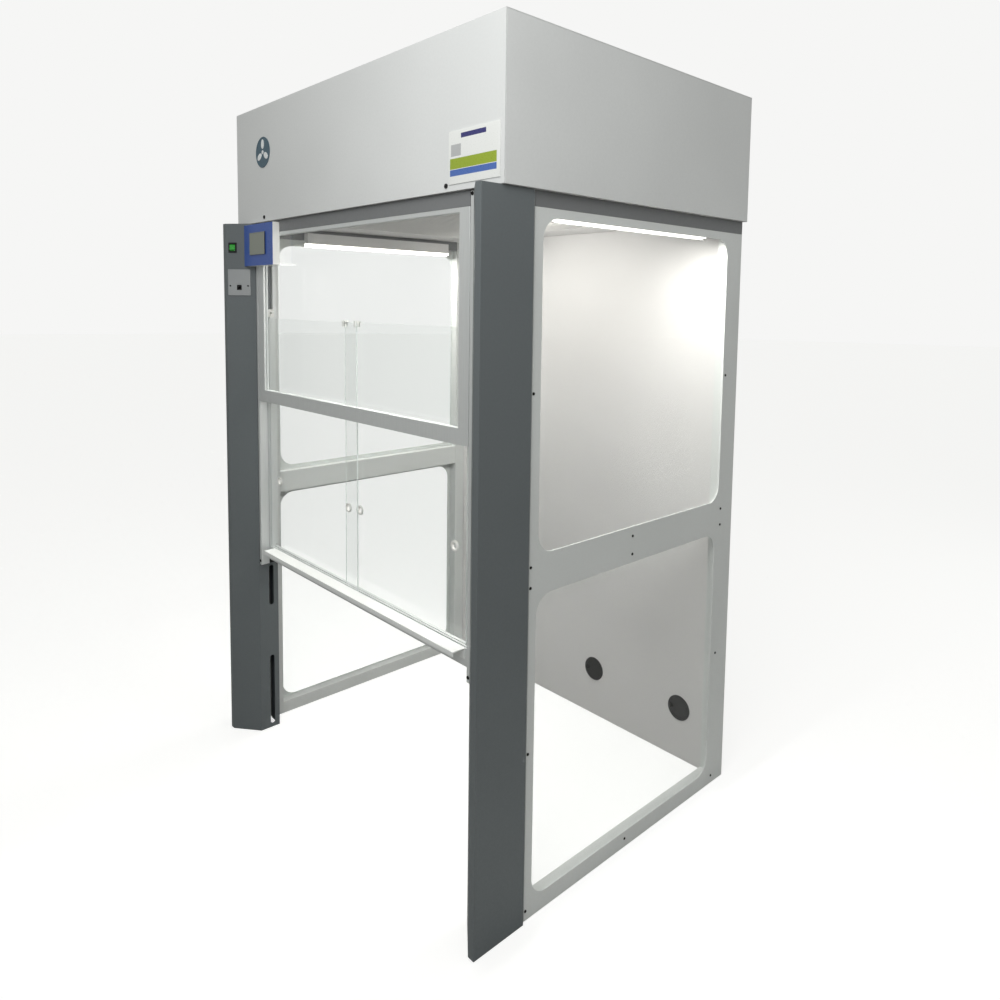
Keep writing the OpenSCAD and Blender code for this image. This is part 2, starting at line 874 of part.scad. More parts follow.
module grommet_rings() {
    color(black) for (x = [grommet_left_x, grommet_right_x]) at_grommet(x) difference() {
        union() {
            translate([0, 0, -3]) cylinder(r = grommet_r, h = 3 - gap);
            translate([0, 0, -1]) cylinder(r = grommet_bore_r + 2, h = 20);
        }
        translate([0, 0, -4]) cylinder(r = grommet_bore_r, h = 30);
    }
}

module grommet_cap(x) {
    r = grommet_bore_r - running;
    at_grommet(x) difference() {
        union() {
            translate([0, 0, -3.5]) cylinder(r = r, h = 3.5);
            cylinder(r = r, h = 12);
        }
        translate([0, 0, 0]) cylinder(r = r - 2.5, h = 13);
        translate([-r + 6, 0, -5]) cylinder(r = 8, h = 20);
        translate([-r - 4, -8, -5]) cube([10, 16, 20]);
    }
}

module grommet_cap_left() { color(black) grommet_cap(grommet_left_x); }
module grommet_cap_right() { color(black) grommet_cap(grommet_right_x); }

// Fascia -----------------------------------------------------------------------------

module hinge_barrel(x0, x1) {
    translate([x0, hinge_y, hinge_z]) rotate([0, 90, 0]) cylinder(r = knuckle_r, h = x1 - x0);
}

module knuckle(x) {
    difference() {
        union() {
            hinge_barrel(x - knuckle_half, x + knuckle_half);
            block([x - knuckle_half, x + knuckle_half], [hinge_y - leaf_w, hinge_y],
                [total_h - 0.5, total_h + leaf_t]);
        }
        translate([x - knuckle_half - eps, hinge_y, hinge_z]) rotate([0, 90, 0])
            cylinder(r = hinge_pin_r + running, h = 2 * knuckle_half + 2 * eps);
    }
}

module fascia() {
    color(plenum_white) at_front() {
        difference() {
            union() {
                block([-half_w, half_w], [0, fascia_t], [plenum_z + 0.3, total_h]);
                block([-half_w, half_w], [0, hinge_y - gap], [total_h - sheet_t, total_h]);
            }
            for (x = [-latch_x, latch_x])
                translate([x, -eps, latch_z]) rotate([-90, 0, 0])
                    cylinder(r = latch_r + running, h = fascia_t + 2 * eps);
        }
        for (x = [-hinge_x, hinge_x]) knuckle(x);
    }
}

module hinge_pins() {
    reach = knuckle_half + 18;
    color(steel) at_front() for (x = [-hinge_x, hinge_x]) {
        translate([x - reach, hinge_y, hinge_z]) rotate([0, 90, 0])
            cylinder(r = hinge_pin_r, h = 2 * reach);
        for (x0 = [x - reach, x + knuckle_half + 0.5]) {
            hinge_barrel(x0, x0 + 17.5);
            block([x0, x0 + 17.5], [hinge_y, hinge_y + leaf_w], [total_h, total_h + leaf_t]);
        }
    }
}

module latch() {
    cam_y = fascia_t + 3;
    rotate([-90, 0, 0]) {
        translate([0, 0, -2.5]) cylinder(r = latch_head_r, h = 2.5 - gap);
        translate([0, 0, -1]) cylinder(r = latch_r, h = 1 + cam_y + 3);
        translate([-latch_r, 0, cam_y]) cube([2 * latch_r, 11, 3]);
    }
}

module latch_left() {
    color(black) at_front() translate([-latch_x, 0, latch_z]) latch();
}
module latch_right() {
    color(black) at_front() translate([latch_x, 0, latch_z]) latch();
}

module badge() {
    color("#46606e") at_front() translate([-512, 0, plenum_z + 237]) rotate([90, 0, 0])
        translate([0, 0, gap]) cylinder(r = 52, h = 2, $fn = 96);
}

module sign_plate() {
    color(white) at_front()
        block([519, 709], [-2, -gap], [plenum_z + 16, plenum_z + 146]);
}

// Fasteners --------------------------------------------------------------------------

module screw_x(y, z) {
    translate([side_x, y, z]) rotate([0, 90, 0]) cylinder(r = 4, h = 1.2);
}

module panel_screws() {
    front = panel_y0 + 5;
    mid = body_d / 2;
    rear = body_d - 72;
    color(black) {
        both_sides() {
            for (z = [mid_tube_z0 + 13, mid_tube_z1 - 13], y = [front, mid, rear]) screw_x(y, z);
            for (y = [front, mid, rear]) screw_x(y, sill_tube_h - 19);
            for (z = [ledge_z - 256, (upper_window_z0 + upper_window_z1) / 2 - 10])
                for (y = [front, rear]) screw_x(y, z);
        }
        // The control box covers the place of the left guide's top screw
        at_front() for (p = [[1, guide_z0 + 15], [-1, guide_z0 + 15], [1, plenum_z - 10]])
            translate([p[0] * (open_x - 8.5), screen_y - 2, p[1]]) rotate([-90, 0, 0])
                cylinder(r = 5, h = 2);
        for (x = [-34, 34])
            on_left_face(plate_along + x, plate_z - 12) rotate([90, 0, 0])
                translate([0, 0, 3]) cylinder(r = 3, h = 1.2);
    }
}

post_cover_left();
post_cover_right();
frame_posts();
side_rails();
side_panel_left();
side_panel_right();
side_windows();
back_panel();
header_bands();
plenum_wrap();
plenum_roof();
ceiling_panel();
intake_grille();
prefilter();
carbon_filter();
fan_deck();
fan_motor();
motor_bridge();
fan_impeller();
exhaust_spigot();
led_housings();
led_diffusers();
screen_frame();
screen_glass();
sash_guides();
rubber_stops();
control_box();
control_panel();
touch_screen();
rocker_bezel();
power_rocker();
socket_plate();
socket_port();
pulley_brackets();
pulley_left();
pulley_right();
cable_bends();
grommet_rings();
grommet_cap_left();
grommet_cap_right();
fascia();
badge();
sign_plate();
latch_left();
latch_right();
hinge_pins();
sash_rail();
sash_ledge();
sash_stiles();
sash_caps();
pane_left();
pane_right();
pane_fittings_left();
pane_fittings_right();
weight_left();
weight_right();
weight_cables();
control_board();
sash_cables();
panel_screws();
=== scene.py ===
"""Finished look of a walk-in fume hood: sheet metal, glazing, sash, controls, fan and filters.

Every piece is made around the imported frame, in metres, with +Z up and -Y at the front.
"""

import json
from math import cos, pi, radians, sin

import bpy
from mathutils import Matrix, Vector

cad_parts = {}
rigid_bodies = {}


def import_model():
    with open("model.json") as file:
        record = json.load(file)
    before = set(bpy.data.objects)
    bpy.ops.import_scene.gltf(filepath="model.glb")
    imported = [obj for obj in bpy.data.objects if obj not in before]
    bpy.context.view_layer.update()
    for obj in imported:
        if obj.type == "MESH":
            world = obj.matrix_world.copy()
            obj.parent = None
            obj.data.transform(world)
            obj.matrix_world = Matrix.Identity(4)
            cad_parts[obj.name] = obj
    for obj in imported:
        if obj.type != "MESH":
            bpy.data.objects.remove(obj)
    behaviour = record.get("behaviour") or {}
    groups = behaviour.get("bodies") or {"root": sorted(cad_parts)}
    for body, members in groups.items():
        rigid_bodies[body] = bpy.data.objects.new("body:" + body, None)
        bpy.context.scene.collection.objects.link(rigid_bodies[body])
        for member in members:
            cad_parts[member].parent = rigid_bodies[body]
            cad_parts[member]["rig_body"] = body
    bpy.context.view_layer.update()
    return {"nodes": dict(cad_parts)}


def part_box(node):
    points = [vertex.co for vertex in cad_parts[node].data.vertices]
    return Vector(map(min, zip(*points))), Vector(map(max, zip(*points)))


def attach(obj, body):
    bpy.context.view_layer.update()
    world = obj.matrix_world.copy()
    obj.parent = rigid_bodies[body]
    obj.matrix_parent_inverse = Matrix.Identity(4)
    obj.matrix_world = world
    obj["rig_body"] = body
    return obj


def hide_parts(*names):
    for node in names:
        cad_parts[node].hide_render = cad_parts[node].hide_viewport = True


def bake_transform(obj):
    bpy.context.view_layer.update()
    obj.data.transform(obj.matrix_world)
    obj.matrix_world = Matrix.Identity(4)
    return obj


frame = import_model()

bl_info = {
    "name": "Fume Hood",
    "version": (1, 0, 0),
    "blender": (4, 5, 0),
    "location": "View3D > Sidebar > Fume Hood",
    "description": "Builds the pieces, finishes and studio of a walk-in fume hood",
    "category": "Object",
}

MM = 0.001
SHEET = 2 * MM  # Thickness of folded sheet
FOLDED_EDGE = 0.35 * MM  # Rounding of a cut edge of a folded sheet


def linear(hex_code, alpha=False):
    """An sRGB hex colour as linear values."""
    channels = [int(hex_code[i:i + 2], 16) / 255 for i in (1, 3, 5)]
    values = [c / 12.92 if c <= 0.04045 else ((c + 0.055) / 1.055) ** 2.4 for c in channels]
    return (*values, 1.0) if alpha else tuple(values)


# Sizes and colours ------------------------------------------------------------------


def length(name, description, default_mm):
    return bpy.props.FloatProperty(
        name=name, description=description, default=default_mm * MM, min=0.0, unit="LENGTH")


def colour(name, description, hex_code):
    return bpy.props.FloatVectorProperty(
        name=name, description=description, default=linear(hex_code), subtype="COLOR",
        min=0.0, max=1.0)


class FumeHoodSizes(bpy.types.PropertyGroup):
    bend: length("Bend radius", "Outer radius of a bend in folded sheet", 3.0)
    sheet_edge: length("Sheet edge", "Rounding of a cut edge of sheet metal", 0.5)
    profile_edge: length("Profile edge", "Corner radius of an extruded profile", 1.2)
    moulded_edge: length("Moulded edge", "Corner radius of a moulded part", 1.0)
    glass_edge: length("Glass edge", "Ground chamfer round a pane", 0.6)
    turned_edge: length("Turned edge", "Rounding of a turned or cast part", 0.8)
    pleat: length("Pleat pitch", "Distance from one pleat of a filter to the next", 14.0)
    rope_lay: length("Rope lay", "Length in which a strand goes once round the rope", 22.0)
    rib: length("Rib", "Height of a cooling rib on the motor", 5.0)


class FumeHoodColours(bpy.types.PropertyGroup):
    post: colour("Posts", "Powder coat of the two front posts", "#676d6f")
    band: colour("Bands", "Powder coat of the header bands", "#77797a")
    frame: colour("Frame", "Powder coat of the side frames and panels", "#dadddb")
    plenum: colour("Plenum", "Powder coat of the plenum box and fascia", "#d9dbda")
    liner: colour("Liner", "Powder coat inside the chamber", "#dbdad9")
    aluminium: colour("Aluminium", "Anodised profiles of the screen and the sash", "#e4e7e6")
    ledge: colour("Ledge", "Coat of the handle ledge", "#eceeec")
    panel: colour("Control panel", "Printed film on the control panel", "#3558a6")
    display: colour("Display", "Face of the touch screen", "#868b80")
    rocker: colour("Rocker", "Lens of the power switch", "#2f9634")
    badge: colour("Badge", "Plain fan badge", "#46606e")
    sign_green: colour("Sign, green", "Wide band of the sign plate", "#93a72f")
    sign_blue: colour("Sign, blue", "Narrow band of the sign plate", "#4a6bb0")


def sizes():
    return bpy.context.scene.fume_hood_sizes


def colours():
    return bpy.context.scene.fume_hood_colours


# Finishes ---------------------------------------------------------------------------


# The factor, the two colours and the result of a Mix node that mixes colours
MIX_FACTOR, MIX_FROM, MIX_TO, MIX_RESULT = 0, 6, 7, 2


def add_node(tree, kind, inputs=None, **settings):
    """Adds a node, sets its settings, and sets or links its inputs."""
    node = tree.nodes.new(kind)
    for key, value in settings.items():
        setattr(node, key, value)
    for key, value in (inputs or {}).items():
        if isinstance(value, bpy.types.NodeSocket):
            tree.links.new(value, node.inputs[key])
        else:
            node.inputs[key].default_value = value
    return node


def blank(name):
    """An empty node material, with its tree and the Object coordinates."""
    material = bpy.data.materials.new(name)
    material.use_nodes = True
    tree = material.node_tree
    tree.nodes.clear()
    return material, tree, add_node(tree, "ShaderNodeTexCoord").outputs["Object"]


def shaded(tree, inputs):
    """The Principled shader on the material's output."""
    shader = add_node(tree, "ShaderNodeBsdfPrincipled", inputs)
    add_node(tree, "ShaderNodeOutputMaterial", {"Surface": shader.outputs["BSDF"]})
    return shader


def shades(tree, factor, base, low, high):
    """A colour that drifts between a darker and a lighter tone of the base."""
    tones = [tuple(min(1.0, c * k) for c in base[:3]) + (1.0,) for k in (low, high)]
    return add_node(
        tree, "ShaderNodeMix", {MIX_FACTOR: factor, MIX_FROM: tones[0], MIX_TO: tones[1]},
        data_type="RGBA").outputs[MIX_RESULT]


def spread(tree, value, low, high, start=0.3, end=0.7):
    """A pattern's value spread over a range."""
    return add_node(tree, "ShaderNodeMapRange", {
        "Value": value, "From Min": start, "From Max": end, "To Min": low, "To Max": high,
    }).outputs["Result"]


def powder_coat(name, base, gloss=0.40, peel=7.0):
    """Sprayed and baked powder: satin, with soft orange peel and a slow drift of tone."""
    material, tree, place = blank(name)
    drift = add_node(tree, "ShaderNodeTexNoise",
                     {"Vector": place, "Scale": 1 / (600 * MM), "Detail": 2.0})
    # Real orange peel is about 2 mm across, and is drawn coarser so that it shows
    skin = add_node(tree, "ShaderNodeTexNoise",
                    {"Vector": place, "Scale": 1 / (peel * MM), "Detail": 3.0})
    tone = shades(tree, spread(tree, drift.outputs["Fac"], 0.0, 1.0), base, 0.94, 1.04)
    speck = add_node(tree, "ShaderNodeMix", {
        MIX_FACTOR: spread(tree, skin.outputs["Fac"], 0.0, 0.10), MIX_FROM: tone,
        MIX_TO: (*[c * 0.75 for c in base[:3]], 1.0)}, data_type="RGBA")
    relief = add_node(tree, "ShaderNodeBump", {
        "Height": skin.outputs["Fac"], "Strength": 0.16, "Distance": 0.5 * MM})
    shaded(tree, {
        "Base Color": speck.outputs[MIX_RESULT],
        "Roughness": spread(tree, skin.outputs["Fac"], gloss - 0.05, gloss + 0.07),
        "IOR": 1.5, "Normal": relief.outputs["Normal"]})
    return material


def anodised(name, base):
    """Etched and anodised extrusion: satin metal with faint draw lines along its length."""
    material, tree, place = blank(name)
    lines = add_node(tree, "ShaderNodeMapping", {"Vector": place, "Scale": (1.0, 1.0, 0.02)})
    draw = add_node(tree, "ShaderNodeTexNoise", {
        "Vector": lines.outputs["Vector"], "Scale": 1 / (1.5 * MM), "Detail": 2.0})
    etch = add_node(tree, "ShaderNodeTexNoise",
                    {"Vector": place, "Scale": 1 / (3 * MM), "Detail": 3.0})
    relief = add_node(tree, "ShaderNodeBump", {
        "Height": etch.outputs["Fac"], "Strength": 0.08, "Distance": 0.3 * MM})
    shaded(tree, {
        "Base Color": shades(tree, draw.outputs["Fac"], base, 0.9, 1.06),
        "Roughness": spread(tree, etch.outputs["Fac"], 0.36, 0.50),
        "Metallic": 0.55, "Normal": relief.outputs["Normal"]})
    return material


def clear_glass(name, base=(0.985, 0.995, 0.99)):
    """Float glass: clear and polished, with the faintest haze from handling.

    Lamps shine through it, because its shadow rays pass straight."""
    material, tree, place = blank(name)
    haze = add_node(tree, "ShaderNodeTexNoise",
                    {"Vector": place, "Scale": 1 / (200 * MM), "Detail": 4.0})
    # Real glass has an IOR of 1.5. A lower one keeps the pale room faint in the panes
    glass = add_node(tree, "ShaderNodeBsdfPrincipled", {
        "Base Color": (*base, 1.0), "Transmission Weight": 1.0, "IOR": 1.3,
        "Roughness": spread(tree, haze.outputs["Fac"], 0.0, 0.03)})
    passing = add_node(tree, "ShaderNodeBsdfTransparent", {"Color": (*base, 1.0)})
    path = add_node(tree, "ShaderNodeLightPath")
    both = add_node(tree, "ShaderNodeMixShader", {
        0: path.outputs["Is Shadow Ray"], 1: glass.outputs["BSDF"],
        2: passing.outputs["BSDF"]})
    add_node(tree, "ShaderNodeOutputMaterial", {"Surface": both.outputs["Shader"]})
    return material


def ground_edge_with_painted_glow(name):
    """The ground edge of a pane: frosted and near white. The white is partly the ground
    glass's own colour and partly painted light, for the glow where light leaves the pane.
    """
    material, tree, place = blank(name)
    grit = add_node(tree, "ShaderNodeTexNoise",
                    {"Vector": place, "Scale": 1 / (2 * MM), "Detail": 2.0})
    shaded(tree, {
        # The pale base colour is partly painted light: the glow of the pane's edge is painted
        # into it
        "Base Color": shades(tree, grit.outputs["Fac"], linear("#eef6f3"), 0.92, 1.0),
        "Roughness": spread(tree, grit.outputs["Fac"], 0.35, 0.55),
        "Transmission Weight": 0.25, "IOR": 1.45})
    return material


def zinc_plate(name, base=linear("#a9acae")):
    """Zinc plated steel: a mottled crystal pattern with a dull metal sheen."""
    material, tree, place = blank(name)
    crystal = add_node(tree, "ShaderNodeTexVoronoi", {"Vector": place, "Scale": 1 / (9 * MM)})
    grey = add_node(tree, "ShaderNodeRGBToBW", {"Color": crystal.outputs["Color"]})
    relief = add_node(tree, "ShaderNodeBump", {
        "Height": crystal.outputs["Distance"], "Strength": 0.06, "Distance": 0.3 * MM})
    shaded(tree, {
        "Base Color": shades(tree, grey.outputs["Val"], base, 0.82, 1.08),
        "Roughness": spread(tree, grey.outputs["Val"], 0.32, 0.52, 0.0, 1.0),
        "Metallic": 1.0, "Normal": relief.outputs["Normal"]})
    return material


def wire_rope(name):
    """Galvanised strands: bright on the crowns, dull between."""
    material, tree, place = blank(name)
    wires = add_node(tree, "ShaderNodeTexNoise",
                     {"Vector": place, "Scale": 1 / (1.2 * MM), "Detail": 2.0})
    shaded(tree, {
        "Base Color": shades(tree, wires.outputs["Fac"], linear("#96999b"), 0.7, 1.12),
        "Roughness": spread(tree, wires.outputs["Fac"], 0.3, 0.55), "Metallic": 1.0})
    return material


def cast_iron(name, base):
    """Sand cast iron under thin paint: a coarse dull skin."""
    material, tree, place = blank(name)
    sand = add_node(tree, "ShaderNodeTexNoise",
                    {"Vector": place, "Scale": 1 / (4 * MM), "Detail": 5.0})
    relief = add_node(tree, "ShaderNodeBump", {
        "Height": sand.outputs["Fac"], "Strength": 0.5, "Distance": 0.8 * MM})
    shaded(tree, {
        "Base Color": shades(tree, sand.outputs["Fac"], base, 0.75, 1.2),
        "Roughness": spread(tree, sand.outputs["Fac"], 0.55, 0.8),
        "Normal": relief.outputs["Normal"]})
    return material


def filter_media(name):
    """Pleated non-woven fibre: matt, felted and slightly uneven."""
    material, tree, place = blank(name)
    fibre = add_node(tree, "ShaderNodeTexNoise", {
        "Vector": place, "Scale": 1 / (3 * MM), "Detail": 6.0, "Distortion": 1.5})
    relief = add_node(tree, "ShaderNodeBump", {
        "Height": fibre.outputs["Fac"], "Strength": 0.6, "Distance": 0.6 * MM})
    shaded(tree, {
        "Base Color": shades(tree, fibre.outputs["Fac"], linear("#e6e5dc"), 0.86, 1.03),
        "Roughness": 0.95, "Normal": relief.outputs["Normal"]})
    return material


def opal_diffuser(name):
    """Opal strip over a row of LEDs, a little brighter in front of each one."""
    material, tree, place = blank(name)
    row = add_node(tree, "ShaderNodeTexWave", {"Vector": place, "Scale": 1 / (60 * MM)},
                   bands_direction="Y")
    glow = shades(tree, row.outputs["Fac"], linear("#fffdf4"), 0.9, 1.0)
    shaded(tree, {
        "Base Color": glow, "Roughness": 0.45,
        "Emission Color": glow, "Emission Strength": 3.2})
    return material


def rubber(name):
    """Cut rubber: near black, matt and finely pitted."""
    material, tree, place = blank(name)
    pits = add_node(tree, "ShaderNodeTexNoise",
                    {"Vector": place, "Scale": 1 / (2 * MM), "Detail": 4.0})
    relief = add_node(tree, "ShaderNodeBump", {
        "Height": pits.outputs["Fac"], "Strength": 0.3, "Distance": 0.4 * MM})
    shaded(tree, {
        "Base Color": shades(tree, pits.outputs["Fac"], linear("#1c1c1c"), 0.8, 1.3),
        "Roughness": spread(tree, pits.outputs["Fac"], 0.7, 0.9),
        "Normal": relief.outputs["Normal"]})
    return material


def moulded(name, base, gloss=0.45):
    """Injection moulded plastic with a fine spark-eroded grain, so it glints little."""
    material, tree, place = blank(name)
    grain = add_node(tree, "ShaderNodeTexVoronoi", {"Vector": place, "Scale": 1 / (1.8 * MM)})
    drift = add_node(tree, "ShaderNodeTexNoise", {"Vector": place, "Scale": 1 / (83 * MM)})
    relief = add_node(tree, "ShaderNodeBump", {
        "Height": grain.outputs["Distance"], "Strength": 0.15, "Distance": 0.2 * MM})
    shaded(tree, {
        "Base Color": shades(tree, drift.outputs["Fac"], base, 0.93, 1.05),
        "Roughness": spread(tree, grain.outputs["Distance"], gloss - 0.06, gloss + 0.08, 0, 1),
        "IOR": 1.5, "Normal": relief.outputs["Normal"]})
    return material


def printed_film(name, base, gloss=0.30):
    """Back-printed polyester film: even ink under a lightly textured gloss."""
    material, tree, place = blank(name)
    ink = add_node(tree, "ShaderNodeTexNoise",
                   {"Vector": place, "Scale": 1 / (167 * MM), "Detail": 1.0})
    weave = add_node(tree, "ShaderNodeTexNoise",
                     {"Vector": place, "Scale": 1 / (2.5 * MM), "Detail": 2.0})
    relief = add_node(tree, "ShaderNodeBump", {
        "Height": weave.outputs["Fac"], "Strength": 0.06, "Distance": 0.2 * MM})
    shaded(tree, {
        "Base Color": shades(tree, ink.outputs["Fac"], base, 0.9, 1.08),
        "Roughness": spread(tree, weave.outputs["Fac"], gloss - 0.05, gloss + 0.1),
        "IOR": 1.52, "Coat Weight": 0.3, "Coat Roughness": 0.2,
        "Normal": relief.outputs["Normal"]})
    return material


def lit_lens(name, base):
    """Translucent polycarbonate over a small lamp."""
    material, tree, place = blank(name)
    cloud = add_node(tree, "ShaderNodeTexNoise", {"Vector": place, "Scale": 1 / (11.1 * MM)})
    glow = shades(tree, cloud.outputs["Fac"], base, 0.75, 1.2)
    shaded(tree, {
        "Base Color": glow, "Roughness": spread(tree, cloud.outputs["Fac"], 0.12, 0.25),
        "IOR": 1.58, "Coat Weight": 0.5, "Coat Roughness": 0.1,
        "Emission Color": glow, "Emission Strength": 0.15})
    return material


def black_oxide(name):
    """Black oxide on steel: dark, slightly brown, with a soft metal gloss."""
    material, tree, place = blank(name)
    film = add_node(tree, "ShaderNodeTexNoise", {"Vector": place, "Scale": 1 / (3.33 * MM)})
    shaded(tree, {
        "Base Color": shades(tree, film.outputs["Fac"], linear("#1d1c1b"), 0.8, 1.4),
        "Roughness": spread(tree, film.outputs["Fac"], 0.3, 0.5), "Metallic": 0.6})
    return material


FINISHES = {
    "post_paint": lambda: powder_coat("slate_powder_coat", colours().post, 0.44),
    "band_paint": lambda: powder_coat("mid_grey_powder_coat", colours().band),
    "frame_paint": lambda: powder_coat("light_grey_powder_coat", colours().frame),
    "plenum_paint": lambda: powder_coat("pale_powder_coat", colours().plenum, 0.42),
    "liner_paint": lambda: powder_coat("white_powder_coat", colours().liner, 0.38),
    "anodised": lambda: anodised("satin_anodised_aluminium", colours().aluminium),
    "ledge_coat": lambda: powder_coat("ledge_powder_coat", colours().ledge, 0.34, 5.0),
    "pane_glass": lambda: clear_glass("float_glass"),
    # The pane edge's pale colour is partly frosted glass and partly painted glow
    "pane_edge_with_painted_glow": lambda: ground_edge_with_painted_glow("ground_glass_edge_painted_glow"),
    "zinc_steel": lambda: zinc_plate("zinc_plated_steel"),
    "wire_rope": lambda: wire_rope("galvanised_wire_rope"),
    "motor_iron": lambda: cast_iron("painted_motor_casting", linear("#3a3c3e")),
    "weight_iron": lambda: cast_iron("cast_iron_weight", linear("#4a4a4a")),
    "filter_media": lambda: filter_media("pleated_filter_media"),
    "light_diffuser": lambda: opal_diffuser("opal_light_diffuser"),
    "stop_rubber": lambda: rubber("stop_rubber_cut"),
    "box_plastic": lambda: moulded("white_box_moulding", linear("#eeeeea")),
    "panel_blue": lambda: printed_film("blue_printed_film", colours().panel),
    "board_green": lambda: moulded("solder_mask", linear("#2f6b45"), 0.3),
    "screen_grey": lambda: printed_film("display_face", colours().display, 0.16),
    # The dark navy of the display's sides is painted shade, for the shadow that the raised
    # screen throws on the blue panel
    "screen_sides_painted_shade": lambda: moulded("display_sides_painted_shade", linear("#1b2547"), 0.35),
    "black_plastic": lambda: moulded("black_moulding", linear("#121212"), 0.5),
    "rocker_green": lambda: lit_lens("green_rocker_lens", colours().rocker),
    "plate_grey": lambda: moulded("grey_plate_moulding", linear("#9b9e9f")),
    "cap_white": lambda: moulded("white_fitting_moulding", linear("#eeeeea"), 0.35),
    "badge_slate": lambda: moulded("badge_enamel", colours().badge, 0.3),
    "badge_white": lambda: moulded("badge_relief", linear("#e9ecec"), 0.3),
    "sign_white": lambda: printed_film("sign_white_print", linear("#e4e6e3")),
    "sign_navy": lambda: printed_film("sign_navy_print", linear("#34346e")),
    "sign_grey": lambda: printed_film("sign_grey_print", linear("#b2b4b4")),
    "sign_green": lambda: printed_film("sign_green_print", colours().sign_green),
    "sign_blue": lambda: printed_film("sign_blue_print", colours().sign_blue),
    "black_steel": lambda: black_oxide("black_oxide_steel"),
}
made = {}


def finish(slot):
    """A finish's material, made the first time that a piece asks for it."""
    if slot not in made:
        made[slot] = FINISHES[slot]()
    return made[slot]


# Modelling --------------------------------------------------------------------------


def only(piece):
    """Selects one piece alone, and makes it active."""
    bpy.ops.object.select_all(action="DESELECT")
    piece.select_set(True)
    bpy.context.view_layer.objects.active = piece
    return piece


def edit(piece, kind="VERT"):
    """Opens a piece in edit mode, picking vertices, edges or faces."""
    only(piece)
    bpy.ops.object.mode_set(mode="EDIT")
    bpy.ops.mesh.select_mode(type=kind)


def done():
    bpy.ops.object.mode_set(mode="OBJECT")


def name_piece(piece, name):
    piece.name = name
    piece.data.name = name
    return piece


def pick_faces(piece, wanted):
    """Selects the faces that a test wants, and opens the piece to work on them."""
    edit(piece, "FACE")
    bpy.ops.mesh.select_all(action="DESELECT")
    done()
    for face in piece.data.polygons:
        face.select = wanted(face)
    edit(piece, "FACE")


def sink(rim, move):
    """Insets the picked faces by a rim, moves them in and closes edit mode."""
    bpy.ops.mesh.inset(thickness=rim)
    bpy.ops.mesh.extrude_region_move(TRANSFORM_OT_translate={"value": move})
    done()


def merged(node, name):
    """A clean, joined-up copy of a CAD node's mesh."""
    piece = bpy.data.objects.new(name, frame["nodes"][node].data.copy())
    bpy.context.scene.collection.objects.link(piece)
    edit(piece)
    bpy.ops.mesh.select_all(action="SELECT")
    bpy.ops.mesh.remove_doubles(threshold=0.01 * MM)
    bpy.ops.mesh.dissolve_limited(angle_limit=radians(0.5))
    done()
    piece.data.materials.clear()
    return name_piece(piece, name)


def apply(piece, kind, **settings):
    """Adds a modifier and applies it."""
    only(piece)
    modifier = piece.modifiers.new(kind.title(), kind)
    for key, value in settings.items():
        setattr(modifier, key, value)
    bpy.ops.object.modifier_apply(modifier=modifier.name)


def round_bends(piece, radius, sheet):
    """Rounds the folds of a folded sheet, and leaves its cut edges alone.

    A fold is long, and both its faces are wider than the sheet's own edge."""
    long, wide, turned = 10 * sheet, 3 * sheet, radians(20)
    mesh = piece.data
    beside = {}
    for face in mesh.polygons:
        for key in face.edge_keys:
            beside.setdefault(key, []).append(face)
    folds = {True: [], False: []}
    for edge in mesh.edges:
        faces = beside.get(tuple(sorted(edge.vertices)), [])
        a, b = (mesh.vertices[v].co for v in edge.vertices)
        span = (b - a).length
        if len(faces) != 2 or span < long:
            continue
        broad = all(face.area / span > wide for face in faces)
        if broad and faces[0].normal.angle(faces[1].normal) > turned:
            outer = (faces[1].center - faces[0].center).dot(faces[0].normal) < 0
            folds[outer].append(((a + b) / 2).copy())
    near = 0.1 * MM
    for outer, middles in folds.items():
        edit(piece, "EDGE")
        bpy.ops.mesh.select_all(action="DESELECT")
        done()
        for edge in piece.data.edges:
            a, b = (piece.data.vertices[v].co for v in edge.vertices)
            edge.select = any(((a + b) / 2 - m).length < near for m in middles)
        edit(piece, "EDGE")
        bpy.ops.mesh.bevel(
            offset=radius if outer else max(radius - sheet, 0.5 * MM), segments=4,
            affect="EDGES", clamp_overlap=True)
        done()


def soften(piece, radius, segments=2):
    """Rounds every sharp edge a little, and shades flat faces flat."""
    if radius > 0:
        apply(piece, "BEVEL", width=radius, segments=segments, limit_method="ANGLE",
              angle_limit=radians(35), use_clamp_overlap=True)
    only(piece)
    bpy.ops.object.shade_smooth_by_angle(angle=radians(40))
    apply(piece, "WEIGHTED_NORMAL", keep_sharp=True, weight=80)
    return piece


def fit(piece, slot, *nodes, body=None):
    """Gives a piece its finish and its body, and has it stand for CAD nodes."""
    if not piece.data.materials:
        piece.data.materials.append(finish(slot))
    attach(piece, body or frame["nodes"][nodes[0]]["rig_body"])
    if nodes:
        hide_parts(*nodes)
    return piece


def shape(node, word, slot, radius, bends=0.0, segments=2):
    """A CAD node's shape as a finished piece with rounded bends and edges."""
    piece = merged(node, f"{node}_{word}")
    if bends:
        round_bends(piece, bends, SHEET)
    return fit(soften(piece, radius, segments), slot, node)


def settle(piece, name):
    """Puts a new primitive's place into its mesh."""
    only(piece)
    bpy.ops.object.transform_apply(location=True, rotation=True, scale=True)
    return name_piece(piece, name)


def block(name, low, high):
    """A rectangular block between two corners."""
    low, high = Vector(low), Vector(high)
    bpy.ops.object.select_all(action="DESELECT")
    bpy.ops.mesh.primitive_cube_add(size=1, location=(low + high) / 2)
    bpy.context.object.scale = high - low
    return settle(bpy.context.object, name)


